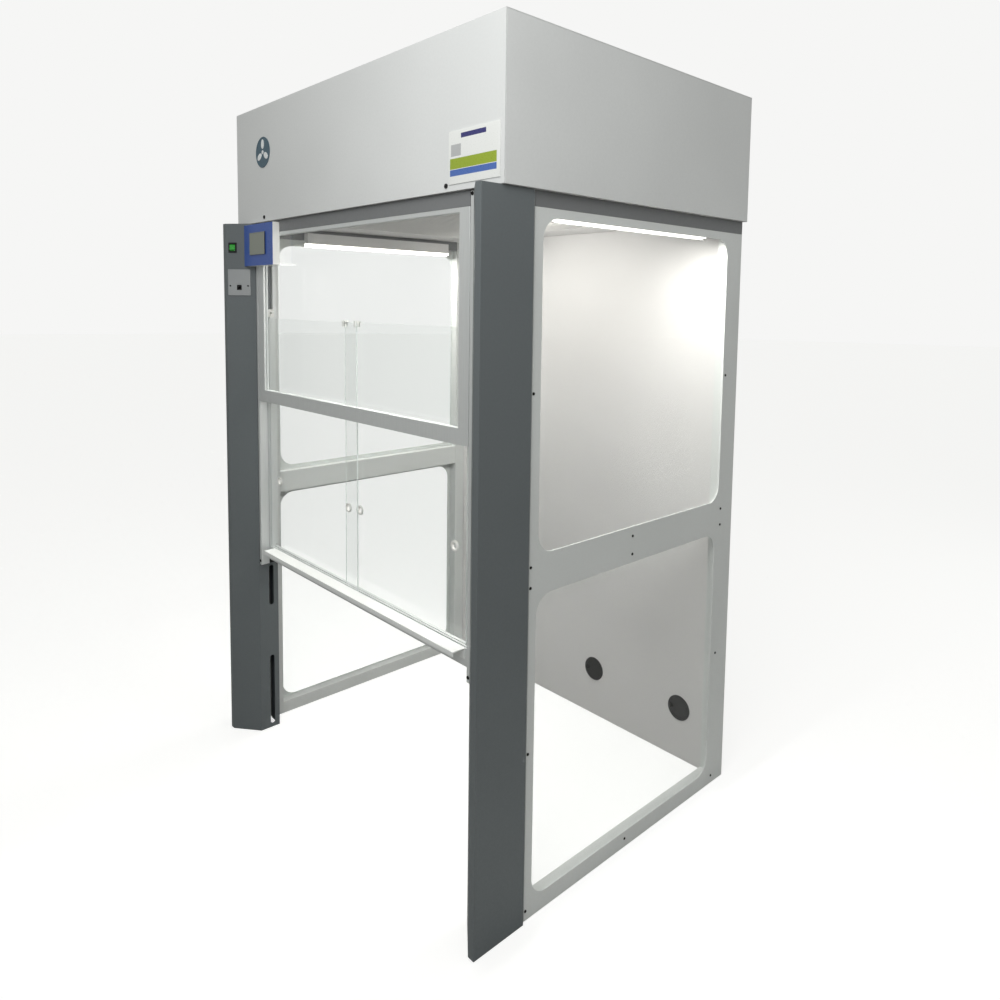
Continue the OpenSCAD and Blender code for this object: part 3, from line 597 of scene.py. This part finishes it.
def disc(name, place, radius, depth, axis=(0, 0, 1), sides=48):
    """A round blank whose middle is at a place."""
    turn = Vector((0, 0, 1)).rotation_difference(Vector(axis))
    bpy.ops.object.select_all(action="DESELECT")
    bpy.ops.mesh.primitive_cylinder_add(
        vertices=sides, radius=radius, depth=depth, location=place, rotation=turn.to_euler())
    return settle(bpy.context.object, name)


def joined(name, pieces):
    """Several pieces as one object."""
    only(pieces[0])
    for piece in pieces[1:]:
        piece.select_set(True)
    bpy.ops.object.join()
    return name_piece(bpy.context.object, name)


def placed_copy(piece, matrix):
    """A copy with a mesh of its own, moved by a matrix."""
    copy = bpy.data.objects.new(piece.name, piece.data.copy())
    bpy.context.scene.collection.objects.link(copy)
    copy.data.transform(matrix)
    return copy


def drop(piece):
    bpy.data.objects.remove(piece, do_unlink=True)


def islands(node):
    """The separate solids in a CAD node, each as its middle, its size and its main face."""
    bpy.ops.object.select_all(action="DESELECT")
    only(merged(node, "loose"))
    bpy.ops.object.mode_set(mode="EDIT")
    bpy.ops.mesh.select_all(action="SELECT")
    bpy.ops.mesh.separate(type="LOOSE")
    done()
    found = []
    for piece in list(bpy.context.selected_objects):
        points = [v.co for v in piece.data.vertices]
        low = Vector([min(p[i] for p in points) for i in range(3)])
        high = Vector([max(p[i] for p in points) for i in range(3)])
        face = max(piece.data.polygons, key=lambda f: f.area)
        found.append(((low + high) / 2, high - low, face.normal.copy()))
        drop(piece)
    return found


def middle(node):
    low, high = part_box(node)
    return (low + high) / 2


# Pieces -----------------------------------------------------------------------------


class FUMEHOOD_OT_posts(bpy.types.Operator):
    """Makes the two folded front posts"""
    bl_idname = "fumehood.posts"
    bl_label = "Front posts"

    def execute(self, context):
        for side in ("left", "right"):
            shape(f"post_cover_{side}", "sheet", "post_paint", FOLDED_EDGE, bends=sizes().bend)
        return {"FINISHED"}


class FUMEHOOD_OT_frame(bpy.types.Operator):
    """Makes the tubes, rails and header bands of the frame"""
    bl_idname = "fumehood.frame"
    bl_label = "Frame"

    def execute(self, context):
        shape("frame_posts", "tubes", "frame_paint", sizes().profile_edge, segments=3)
        shape("side_rails", "tubes", "frame_paint", sizes().profile_edge, segments=3)
        shape("header_bands", "profiles", "band_paint", 0.8 * MM)
        return {"FINISHED"}


class FUMEHOOD_OT_panels(bpy.types.Operator):
    """Makes the side panels and the back panel"""
    bl_idname = "fumehood.panels"
    bl_label = "Panels"

    def execute(self, context):
        for side in ("left", "right"):
            shape(f"side_panel_{side}", "sheet", "frame_paint", sizes().sheet_edge)
        shape("back_panel", "sheet", "liner_paint", sizes().sheet_edge)
        return {"FINISHED"}


class FUMEHOOD_OT_glazing(bpy.types.Operator):
    """Makes the fixed glass of the sides and the front screen"""
    bl_idname = "fumehood.glazing"
    bl_label = "Fixed glazing"

    def execute(self, context):
        glass_sheet("side_windows", across=0)
        glass_sheet("screen_glass", across=1)
        return {"FINISHED"}


def glass_sheet(node, across):
    """A pane with ground edges. Its clear faces look along X, axis 0, or Y, axis 1."""
    piece = merged(node, f"{node}_sheet")
    soften(piece, sizes().glass_edge)
    piece.data.materials.append(finish("pane_glass"))
    # The edge faces get the finish whose pale colour holds a painted glow
    piece.data.materials.append(finish("pane_edge_with_painted_glow"))
    for face in piece.data.polygons:
        face.material_index = 0 if abs(face.normal[across]) > 0.9 else 1
    return fit(piece, "pane_glass", node)


class FUMEHOOD_OT_plenum(bpy.types.Operator):
    """Makes the folded plenum box and its roof"""
    bl_idname = "fumehood.plenum"
    bl_label = "Plenum"

    def execute(self, context):
        shape("plenum_wrap", "sheet", "plenum_paint", FOLDED_EDGE, bends=sizes().bend)
        shape("plenum_roof", "sheet", "plenum_paint", sizes().sheet_edge)
        return {"FINISHED"}


class FUMEHOOD_OT_fascia(bpy.types.Operator):
    """Makes the hinged fascia with its hinges and latches"""
    bl_idname = "fumehood.fascia"
    bl_label = "Fascia"

    def execute(self, context):
        shape("fascia", "sheet", "plenum_paint", FOLDED_EDGE, bends=sizes().bend)
        shape("hinge_pins", "leaves", "zinc_steel", 0.3 * MM)
        for side in ("left", "right"):
            quarter_turn_latch(f"latch_{side}")
        return {"FINISHED"}


def quarter_turn_latch(node):
    """A latch whose head has a key recess."""
    piece = merged(node, f"{node}_barrel")
    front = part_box(node)[0].y
    pick_faces(piece, lambda f: f.normal.y < -0.9 and abs(f.center.y - front) < 0.1 * MM)
    sink(rim=2.6 * MM, move=(0, 1.4 * MM, 0))
    return fit(soften(piece, 0.35 * MM), "black_plastic", node)


class FUMEHOOD_OT_badge(bpy.types.Operator):
    """Makes the plain badge with a fan on it"""
    bl_idname = "fumehood.badge"
    bl_label = "Badge"

    def execute(self, context):
        low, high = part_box("badge")
        centre, radius = (low + high) / 2, (high.x - low.x) / 2
        plate = merged("badge", "badge_plate")
        pick_faces(plate, lambda f: f.normal.y < -0.9)
        sink(rim=4 * MM, move=(0, 0.8 * MM, 0))
        fit(soften(plate, 0.4 * MM), "badge_slate", "badge")
        relief_y = low.y + 0.4 * MM
        reach, blade_r, hub_r = radius * 0.46, radius * 0.27, radius * 0.13
        blade_depth, hub_depth = 1.4 * MM, 1.6 * MM
        narrow, long, count = 0.72, 1.15, 3
        outward = (0, -1, 0)
        blades = []
        for turn in range(count):
            blade = disc("blade", (0, 0, reach), blade_r, blade_depth, outward, sides=32)
            blade.data.transform(Matrix.Diagonal((narrow, 1.0, long, 1.0)))
            blade.data.transform(Matrix.Rotation(turn * 2 * pi / count, 4, "Y"))
            blades.append(blade)
        blades.append(disc("hub", (0, 0, 0), hub_r, hub_depth, outward, sides=32))
        fan = joined("badge_fan", blades)
        fan.data.transform(Matrix.Translation((centre.x, relief_y, centre.z)))
        fan.data.materials.append(finish("badge_white"))
        fit(soften(fan, 0.3 * MM), "badge_slate", body="fascia")
        return {"FINISHED"}


class FUMEHOOD_OT_sign(bpy.types.Operator):
    """Makes the sign plate with plain colour bands"""
    bl_idname = "fumehood.sign"
    bl_label = "Sign plate"

    def execute(self, context):
        low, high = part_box("sign_plate")
        width, height = high.x - low.x, high.z - low.z
        piece = merged("sign_plate", "sign_plate_laminate")
        # Each print is its finish with its left, right, bottom and top as shares of the plate
        prints = [
            ("sign_blue", 0.03, 0.94, 0.15, 0.27), ("sign_green", 0.03, 0.94, 0.28, 0.48),
            ("sign_grey", 0.05, 0.25, 0.52, 0.74), ("sign_navy", 0.25, 0.74, 0.84, 0.93),
        ]
        xs = sorted({x for row in prints for x in row[1:3]})
        zs = sorted({z for row in prints for z in row[3:5]})
        cuts = [((low.x + x * width, 0, 0), (1, 0, 0)) for x in xs]
        cuts += [((0, 0, low.z + z * height), (0, 0, 1)) for z in zs]
        for place, normal in cuts:
            pick_faces(piece, lambda f: f.normal.y < -0.9)
            bpy.ops.mesh.bisect(plane_co=place, plane_no=normal)
            done()
        for slot in ("sign_white", *(row[0] for row in prints)):
            piece.data.materials.append(finish(slot))
        for face in piece.data.polygons:
            x = (face.center.x - low.x) / width
            z = (face.center.z - low.z) / height
            for index, (_, x0, x1, z0, z1) in enumerate(prints, 1):
                if face.normal.y < -0.9 and x0 < x < x1 and z0 < z < z1:
                    face.material_index = index
        fit(soften(piece, 0.3 * MM), "sign_white", "sign_plate")
        return {"FINISHED"}


class FUMEHOOD_OT_ceiling(bpy.types.Operator):
    """Makes the ceiling panel and the intake grille"""
    bl_idname = "fumehood.ceiling"
    bl_label = "Ceiling"

    def execute(self, context):
        shape("ceiling_panel", "sheet", "liner_paint", sizes().sheet_edge)
        shape("intake_grille", "sheet", "liner_paint", 0.6 * MM)
        return {"FINISHED"}


class FUMEHOOD_OT_filters(bpy.types.Operator):
    """Makes the two filter cassettes with their pleated media"""
    bl_idname = "fumehood.filters"
    bl_label = "Filters"

    def execute(self, context):
        for node, depth in (("prefilter", 3 * MM), ("carbon_filter", 6 * MM)):
            shape(node, "cassette", "filter_media", 0.8 * MM)
            pleats(node, depth)
        return {"FINISHED"}


def pleats(node, depth):
    """Zigzag media in the recess under a cassette, clear of its rim and its floor."""
    low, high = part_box(node)
    rim, clear, felt = 21 * MM, 0.3 * MM, 0.5 * MM
    width, run = high.x - low.x - 2 * rim, high.y - low.y - 2 * rim
    count = 2 * round(width / sizes().pleat)
    bpy.ops.object.select_all(action="DESELECT")
    bpy.ops.mesh.primitive_grid_add(
        x_subdivisions=count, y_subdivisions=1, size=1,
        location=((low.x + high.x) / 2, (low.y + high.y) / 2, low.z + depth - clear))
    bpy.context.object.scale = (width, run, 1)
    piece = settle(bpy.context.object, f"{node}_pleats")
    start, step = low.x + rim, width / count
    edit(piece)
    bpy.ops.mesh.select_all(action="DESELECT")
    done()
    for vertex in piece.data.vertices:
        vertex.select = round((vertex.co.x - start) / step) % 2 == 1
    edit(piece)
    bpy.ops.transform.translate(value=(0, 0, 2 * clear - depth))
    done()
    apply(piece, "SOLIDIFY", thickness=felt, offset=1.0)
    piece.data.materials.append(finish("filter_media"))
    return fit(piece, "filter_media", body="root")


class FUMEHOOD_OT_fan(bpy.types.Operator):
    """Makes the fan deck, impeller, motor, bridge and roof spigot"""
    bl_idname = "fumehood.fan"
    bl_label = "Fan"

    def execute(self, context):
        shape("fan_deck", "sheet", "zinc_steel", 0.5 * MM)
        shape("fan_impeller", "wheel", "zinc_steel", 0.5 * MM)
        shape("motor_bridge", "strap", "zinc_steel", 0.5 * MM)
        shape("exhaust_spigot", "collar", "zinc_steel", sizes().turned_edge)
        shape("fan_motor", "casing", "motor_iron", 1.5 * MM, segments=3)
        cooling_ribs()
        return {"FINISHED"}


def cooling_ribs():
    """Upright ribs round the motor's casing, a little short of its top."""
    low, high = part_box("fan_motor")
    centre, radius = middle("fan_motor"), (high.x - low.x) / 2
    top, bottom = high.z - 6 * MM, high.z - 64 * MM
    count, sunk, half = 24, 1 * MM, 1.2 * MM
    rib = block("rib", (radius - sunk, -half, bottom), (radius + sizes().rib, half, top))
    ribs = [placed_copy(rib, Matrix.Translation((centre.x, centre.y, 0))
                        @ Matrix.Rotation(i * 2 * pi / count, 4, "Z")) for i in range(count)]
    drop(rib)
    piece = joined("fan_motor_ribs", ribs)
    piece.data.materials.append(finish("motor_iron"))
    return fit(soften(piece, 0.6 * MM), "motor_iron", body="root")


class FUMEHOOD_OT_lights(bpy.types.Operator):
    """Makes the two light strips"""
    bl_idname = "fumehood.lights"
    bl_label = "Light strips"

    def execute(self, context):
        shape("led_housings", "profiles", "liner_paint", 0.5 * MM)
        shape("led_diffusers", "strips", "light_diffuser", 1.5 * MM, segments=3)
        return {"FINISHED"}


class FUMEHOOD_OT_screen(bpy.types.Operator):
    """Makes the fixed screen's frame, the sash guides and their rubber stops"""
    bl_idname = "fumehood.screen"
    bl_label = "Fixed screen"

    def execute(self, context):
        shape("screen_frame", "profiles", "anodised", sizes().profile_edge)
        shape("sash_guides", "profiles", "anodised", 0.8 * MM)
        shape("rubber_stops", "pads", "stop_rubber", 1.5 * MM, segments=3)
        return {"FINISHED"}


class FUMEHOOD_OT_sash(bpy.types.Operator):
    """Makes the sash's rail, stiles, caps and handle ledge"""
    bl_idname = "fumehood.sash"
    bl_label = "Sash"

    def execute(self, context):
        shape("sash_rail", "profile", "anodised", 0.8 * MM)
        shape("sash_stiles", "profiles", "anodised", 0.8 * MM)
        shape("sash_caps", "mouldings", "cap_white", sizes().moulded_edge, segments=3)
        shape("sash_ledge", "sheet", "ledge_coat", sizes().turned_edge, segments=3)
        return {"FINISHED"}


class FUMEHOOD_OT_panes(bpy.types.Operator):
    """Makes the two sliding panes with their finger rings and clips"""
    bl_idname = "fumehood.panes"
    bl_label = "Sliding panes"

    def execute(self, context):
        for side in ("left", "right"):
            glass_sheet(f"pane_{side}", across=1)
            shape(f"pane_fittings_{side}", "mouldings", "cap_white", 0.4 * MM)
        return {"FINISHED"}


class FUMEHOOD_OT_counterbalance(bpy.types.Operator):
    """Makes the weights, pulleys, brackets and wire ropes"""
    bl_idname = "fumehood.counterbalance"
    bl_label = "Counterbalance"

    def execute(self, context):
        shape("pulley_brackets", "plates", "zinc_steel", 0.5 * MM)
        shape("cable_bends", "ropes", "wire_rope", 0.0)
        for side in ("left", "right"):
            shape(f"weight_{side}", "casting", "weight_iron", 3 * MM, segments=3)
            shape(f"pulley_{side}", "sheave", "black_plastic", 0.5 * MM)
        straight_ropes("sash_cables", left="sash", right="sash")
        straight_ropes("weight_cables", left="counterweight_left", right="counterweight_right")
        return {"FINISHED"}


def straight_ropes(node, left, right):
    """A node's two upright ropes, made where the node's ropes stand."""
    for centre, size, _ in islands(node):
        side, rider = ("left", left) if centre.x < 0 else ("right", right)
        rope = twisted_rope(f"{node}_{side}", centre, size)
        rope.data.materials.append(finish("wire_rope"))
        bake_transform(rope)
        if side == "left":
            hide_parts(node)


def twisted_rope(name, centre, size):
    """Six strands laid round each other, swept up from the rope's foot."""
    strands, per_strand, groove = 6, 3, 0.72
    radius = size.x / 2
    turns = size.z / sizes().rope_lay
    steps = round(turns * 12)
    bpy.ops.object.select_all(action="DESELECT")
    bpy.ops.mesh.primitive_circle_add(vertices=strands * per_strand, radius=radius)
    piece = bpy.context.object
    for index, vertex in enumerate(piece.data.vertices):
        if index % per_strand == 0:
            vertex.co = vertex.co * groove
    apply(piece, "SCREW", angle=turns * 2 * pi, screw_offset=size.z, axis="Z",
          steps=steps, render_steps=steps, use_smooth_shade=True)
    edit(piece, "EDGE")
    bpy.ops.mesh.select_all(action="DESELECT")
    bpy.ops.mesh.select_non_manifold()
    bpy.ops.mesh.edge_face_add()
    bpy.ops.mesh.select_all(action="SELECT")
    bpy.ops.mesh.normals_make_consistent(inside=False)
    done()
    piece.data.transform(Matrix.Translation(centre - Vector((0, 0, size.z / 2))))
    return name_piece(piece, name)


class FUMEHOOD_OT_controls(bpy.types.Operator):
    """Makes the control box, its printed panel, touch screen and board"""
    bl_idname = "fumehood.controls"
    bl_label = "Controls"

    def execute(self, context):
        shape("control_box", "moulding", "box_plastic", sizes().moulded_edge, segments=3)
        shape("control_panel", "film", "panel_blue", 0.5 * MM)
        shape("control_board", "laminate", "board_green", 0.2 * MM)
        display = merged("touch_screen", "touch_screen_display")
        pick_faces(display, lambda f: f.normal.y < -0.9)
        sink(rim=2.2 * MM, move=(0, 0.5 * MM, 0))
        soften(display, 0.6 * MM)
        display.data.materials.append(finish("screen_grey"))
        # The sides and recess walls get dark navy, which is painted shade round the raised
        # screen
        display.data.materials.append(finish("screen_sides_painted_shade"))
        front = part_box("touch_screen")[0].y
        for face in display.data.polygons:
            on_front = face.normal.y < -0.9 and face.center.y < front + 0.6 * MM
            face.material_index = 0 if on_front else 1
        fit(display, "screen_grey", "touch_screen")
        return {"FINISHED"}


class FUMEHOOD_OT_switch(bpy.types.Operator):
    """Makes the power switch and the data socket on the left post"""
    bl_idname = "fumehood.switch"
    bl_label = "Switch and socket"

    def execute(self, context):
        shape("rocker_bezel", "moulding", "black_plastic", 0.8 * MM, segments=3)
        shape("power_rocker", "lens", "rocker_green", 0.4 * MM)
        shape("socket_plate", "moulding", "plate_grey", sizes().moulded_edge, segments=3)
        shape("socket_port", "moulding", "black_plastic", 0.4 * MM)
        return {"FINISHED"}


class FUMEHOOD_OT_grommets(bpy.types.Operator):
    """Makes the cable grommets and their turning caps"""
    bl_idname = "fumehood.grommets"
    bl_label = "Grommets"

    def execute(self, context):
        shape("grommet_rings", "mouldings", "black_plastic", sizes().moulded_edge, segments=3)
        for side in ("left", "right"):
            node = f"grommet_cap_{side}"
            piece = merged(node, f"{node}_moulding")
            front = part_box(node)[0].y
            pick_faces(piece, lambda f: f.normal.y < -0.9 and f.center.y < front + 0.1 * MM)
            sink(rim=3 * MM, move=(0, 0.8 * MM, 0))
            fit(soften(piece, 0.5 * MM), "black_plastic", node)
        return {"FINISHED"}


class FUMEHOOD_OT_screws(bpy.types.Operator):
    """Makes the domed screws of the panels, guides and socket plate"""
    bl_idname = "fumehood.screws"
    bl_label = "Screws"

    def execute(self, context):
        copies = []
        for centre, size, normal in islands("panel_screws"):
            on_side = abs(normal.y) < 0.5
            inward = normal.x * centre.x < 0 if on_side else normal.y > 0
            if inward:
                normal = -normal
            turn = Vector((0, 0, 1)).rotation_difference(normal).to_matrix().to_4x4()
            foot = centre - normal * 0.6 * MM
            screw = domed_screw(size.z / 2)
            copies.append(placed_copy(screw, Matrix.Translation(foot) @ turn))
            drop(screw)
        piece = joined("panel_screws_domed", copies)
        piece.data.materials.append(finish("black_steel"))
        fit(soften(piece, 0.0), "black_steel", "panel_screws")
        return {"FINISHED"}


def domed_screw(radius):
    """A button head with a socket, standing on its foot at the origin."""
    depth = 1.9 * MM
    head = disc("screw", (0, 0, depth / 2), radius, depth, sides=24)
    pick_faces(head, lambda f: f.normal.z > 0.9)
    bpy.ops.mesh.bevel(offset=0.75 * depth, segments=3, affect="EDGES")
    done()
    top, near = max(v.co.z for v in head.data.vertices), 0.01 * MM
    pick_faces(head, lambda f: f.normal.z > 0.99 and f.center.z > top - near)
    sink(rim=0.12 * radius, move=(0, 0, -0.6 * depth))
    return head


# Studio -----------------------------------------------------------------------------

STRIP_WHITE = "#fffcf8"


class FUMEHOOD_OT_stage(bpy.types.Operator):
    """Makes the pale floor, the soft lights and the camera"""
    bl_idname = "fumehood.stage"
    bl_label = "Studio"

    def execute(self, context):
        pale_floor()
        white_surround()
        soft_light("key", (1.35, -1.7, 2.8), 1.6, 29.0, target=(0.6, -0.5, 2.0))
        soft_light("overhead", (-0.2, -1.4, 3.6), 1.6, 3.0, target=(-0.1, -0.9, 0.0))
        rear_fill()
        strip_lights()
        wall_wash()
        camera()
        return {"FINISHED"}


def seen_straight(tree):
    """1 for what is seen directly or through glass alone, and 0 once light has bounced."""
    path = add_node(tree, "ShaderNodeLightPath")
    bounces = add_node(tree, "ShaderNodeMath", {
        0: path.outputs["Diffuse Depth"], 1: path.outputs["Glossy Depth"]})
    return add_node(tree, "ShaderNodeMath", {0: bounces.outputs["Value"], 1: 0.5},
                    operation="LESS_THAN").outputs["Value"]


def pale_floor():
    """A wide floor that fades into the surround."""
    bpy.ops.object.select_all(action="DESELECT")
    bpy.ops.mesh.primitive_circle_add(
        vertices=96, radius=40.0, fill_type="NGON", location=(0, 0, -0.5 * MM))
    floor = settle(bpy.context.object, "studio_floor")
    material, tree, place = blank("pale_floor")
    cloud = add_node(tree, "ShaderNodeTexNoise", {"Vector": place, "Scale": 1 / (1250 * MM)})
    # The floor looks pale, and throws less light up at the hood than a pale floor would
    lift = spread(tree, seen_straight(tree), 0.0, 0.75, 0.0, 1.0)
    shaded(tree, {
        "Base Color": shades(tree, cloud.outputs["Fac"], linear("#acacab"), 0.99, 1.0),
        "Roughness": 0.9, "Specular IOR Level": 0.1,
        "Emission Color": linear("#fbfbfa", alpha=True), "Emission Strength": lift})
    floor.data.materials.append(material)


def white_surround():
    """A white room that lights softly, and looks white behind the hood."""
    world = bpy.data.worlds.new("studio")
    bpy.context.scene.world = world
    world.use_nodes = True
    tree = world.node_tree
    tree.nodes.clear()
    path = add_node(tree, "ShaderNodeLightPath")
    seen = add_node(tree, "ShaderNodeBackground",
                    {"Color": linear("#f6f6f5", alpha=True), "Strength": 1.0})
    # Glossy rays find a darker room, as the dark side of a real studio is
    light = spread(tree, path.outputs["Is Glossy Ray"], 0.46, 0.38, 0.0, 1.0)
    lit = add_node(tree, "ShaderNodeBackground",
                   {"Color": linear("#f8f9f6", alpha=True), "Strength": light})
    both = add_node(tree, "ShaderNodeMixShader", {
        0: seen_straight(tree), 1: lit.outputs["Background"],
        2: seen.outputs["Background"]})
    add_node(tree, "ShaderNodeOutputWorld", {"Surface": both.outputs["Shader"]})


def soft_light(name, place, size, power, target=None):
    """A round area light of a size in metres and a power in watts.

    It shines straight down, unless it has a target."""
    light = bpy.data.lights.new(name, "AREA")
    light.shape = "DISK"
    light.size = size
    light.energy = power
    lamp = bpy.data.objects.new(name, light)
    bpy.context.scene.collection.objects.link(lamp)
    lamp.location = place
    if target:
        aim = Vector(target) - Vector(place)
        lamp.rotation_euler = aim.to_track_quat("-Z", "Y").to_euler()
    return lamp


def rear_fill():
    """Lights the far side and the back. Panes neither mirror it nor show it as a disc."""
    fill = soft_light("rear_fill", (2.6, 3.4, 2.6), 3.0, 20.0, target=(0.0, 0.4, 1.4))
    fill.visible_glossy = False
    fill.visible_transmission = False


def strip_lights():
    """The light that the two strips give, just under their diffusers."""
    low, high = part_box("led_diffusers")
    width, below, tilt = 28 * MM, 4 * MM, radians(8)
    for name, side in (("strip_left", -1), ("strip_right", 1)):
        place = (side * (high.x - width / 2), (low.y + high.y) / 2, low.z - below)
        light = soft_light(name, place, width, 5.6)
        light.data.shape = "RECTANGLE"
        light.data.size_y = high.y - low.y
        light.data.color = linear(STRIP_WHITE)
        light.rotation_euler = (0, side * tilt, 0)


def wall_wash():
    """The strips' glow on the top of the back wall, which their flat lights leave dark."""
    back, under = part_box("back_panel")[0].y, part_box("ceiling_panel")[0].z - 0.05
    x, off, dip = 0.05, 0.40, 0.12
    wash = soft_light(
        "wall_wash", (x, back - off, under), 0.5, 2.6, target=(x, back, under - dip))
    wash.data.color = linear(STRIP_WHITE)
    wash.visible_glossy = False


def camera():
    """A wide lens held nearly level at eye height, off the right front corner."""
    lens_camera = bpy.data.cameras.new("camera")
    lens_camera.sensor_width = 36.0
    lens_camera.lens = 27.53
    lens_camera.shift_y = -0.13
    holder = bpy.data.objects.new("camera", lens_camera)
    bpy.context.scene.collection.objects.link(holder)
    place = (2.043, -1.733, 1.622)
    heading, tilt, roll = radians(47.37), radians(90 - 4.81), radians(0.72)
    holder.matrix_world = (
        Matrix.Translation(place) @ Matrix.Rotation(heading, 4, "Z")
        @ Matrix.Rotation(tilt, 4, "X") @ Matrix.Rotation(roll, 4, "Z"))
    bpy.context.scene.camera = holder


# Add-on -----------------------------------------------------------------------------

PIECE_OPERATORS = (
    FUMEHOOD_OT_posts, FUMEHOOD_OT_frame, FUMEHOOD_OT_panels, FUMEHOOD_OT_glazing,
    FUMEHOOD_OT_plenum, FUMEHOOD_OT_fascia, FUMEHOOD_OT_badge, FUMEHOOD_OT_sign,
    FUMEHOOD_OT_ceiling, FUMEHOOD_OT_filters, FUMEHOOD_OT_fan, FUMEHOOD_OT_lights,
    FUMEHOOD_OT_screen, FUMEHOOD_OT_sash, FUMEHOOD_OT_panes, FUMEHOOD_OT_counterbalance,
    FUMEHOOD_OT_controls, FUMEHOOD_OT_switch, FUMEHOOD_OT_grommets, FUMEHOOD_OT_screws,
    FUMEHOOD_OT_stage,
)


class FUMEHOOD_PT_panel(bpy.types.Panel):
    """Lists the hood's sizes, colours and pieces"""
    bl_idname = "FUMEHOOD_PT_panel"
    bl_label = "Fume Hood"
    bl_space_type = "VIEW_3D"
    bl_region_type = "UI"
    bl_category = "Fume Hood"

    def draw(self, context):
        for group in (sizes(), colours()):
            box = self.layout.box()
            for name in type(group).__annotations__:
                box.prop(group, name)
        for operator in PIECE_OPERATORS:
            self.layout.operator(operator.bl_idname)


CLASSES = (FumeHoodSizes, FumeHoodColours, *PIECE_OPERATORS, FUMEHOOD_PT_panel)


def register():
    for entry in CLASSES:
        bpy.utils.register_class(entry)
    bpy.types.Scene.fume_hood_sizes = bpy.props.PointerProperty(type=FumeHoodSizes)
    bpy.types.Scene.fume_hood_colours = bpy.props.PointerProperty(type=FumeHoodColours)


def unregister():
    del bpy.types.Scene.fume_hood_colours
    del bpy.types.Scene.fume_hood_sizes
    for entry in reversed(CLASSES):
        bpy.utils.unregister_class(entry)


def main():
    register()
    bpy.context.scene.view_settings.view_transform = "Standard"
    for operator in PIECE_OPERATORS:
        group, name = operator.bl_idname.split(".")
        getattr(getattr(bpy.ops, group), name)()


if __name__ == "__main__":
    main()
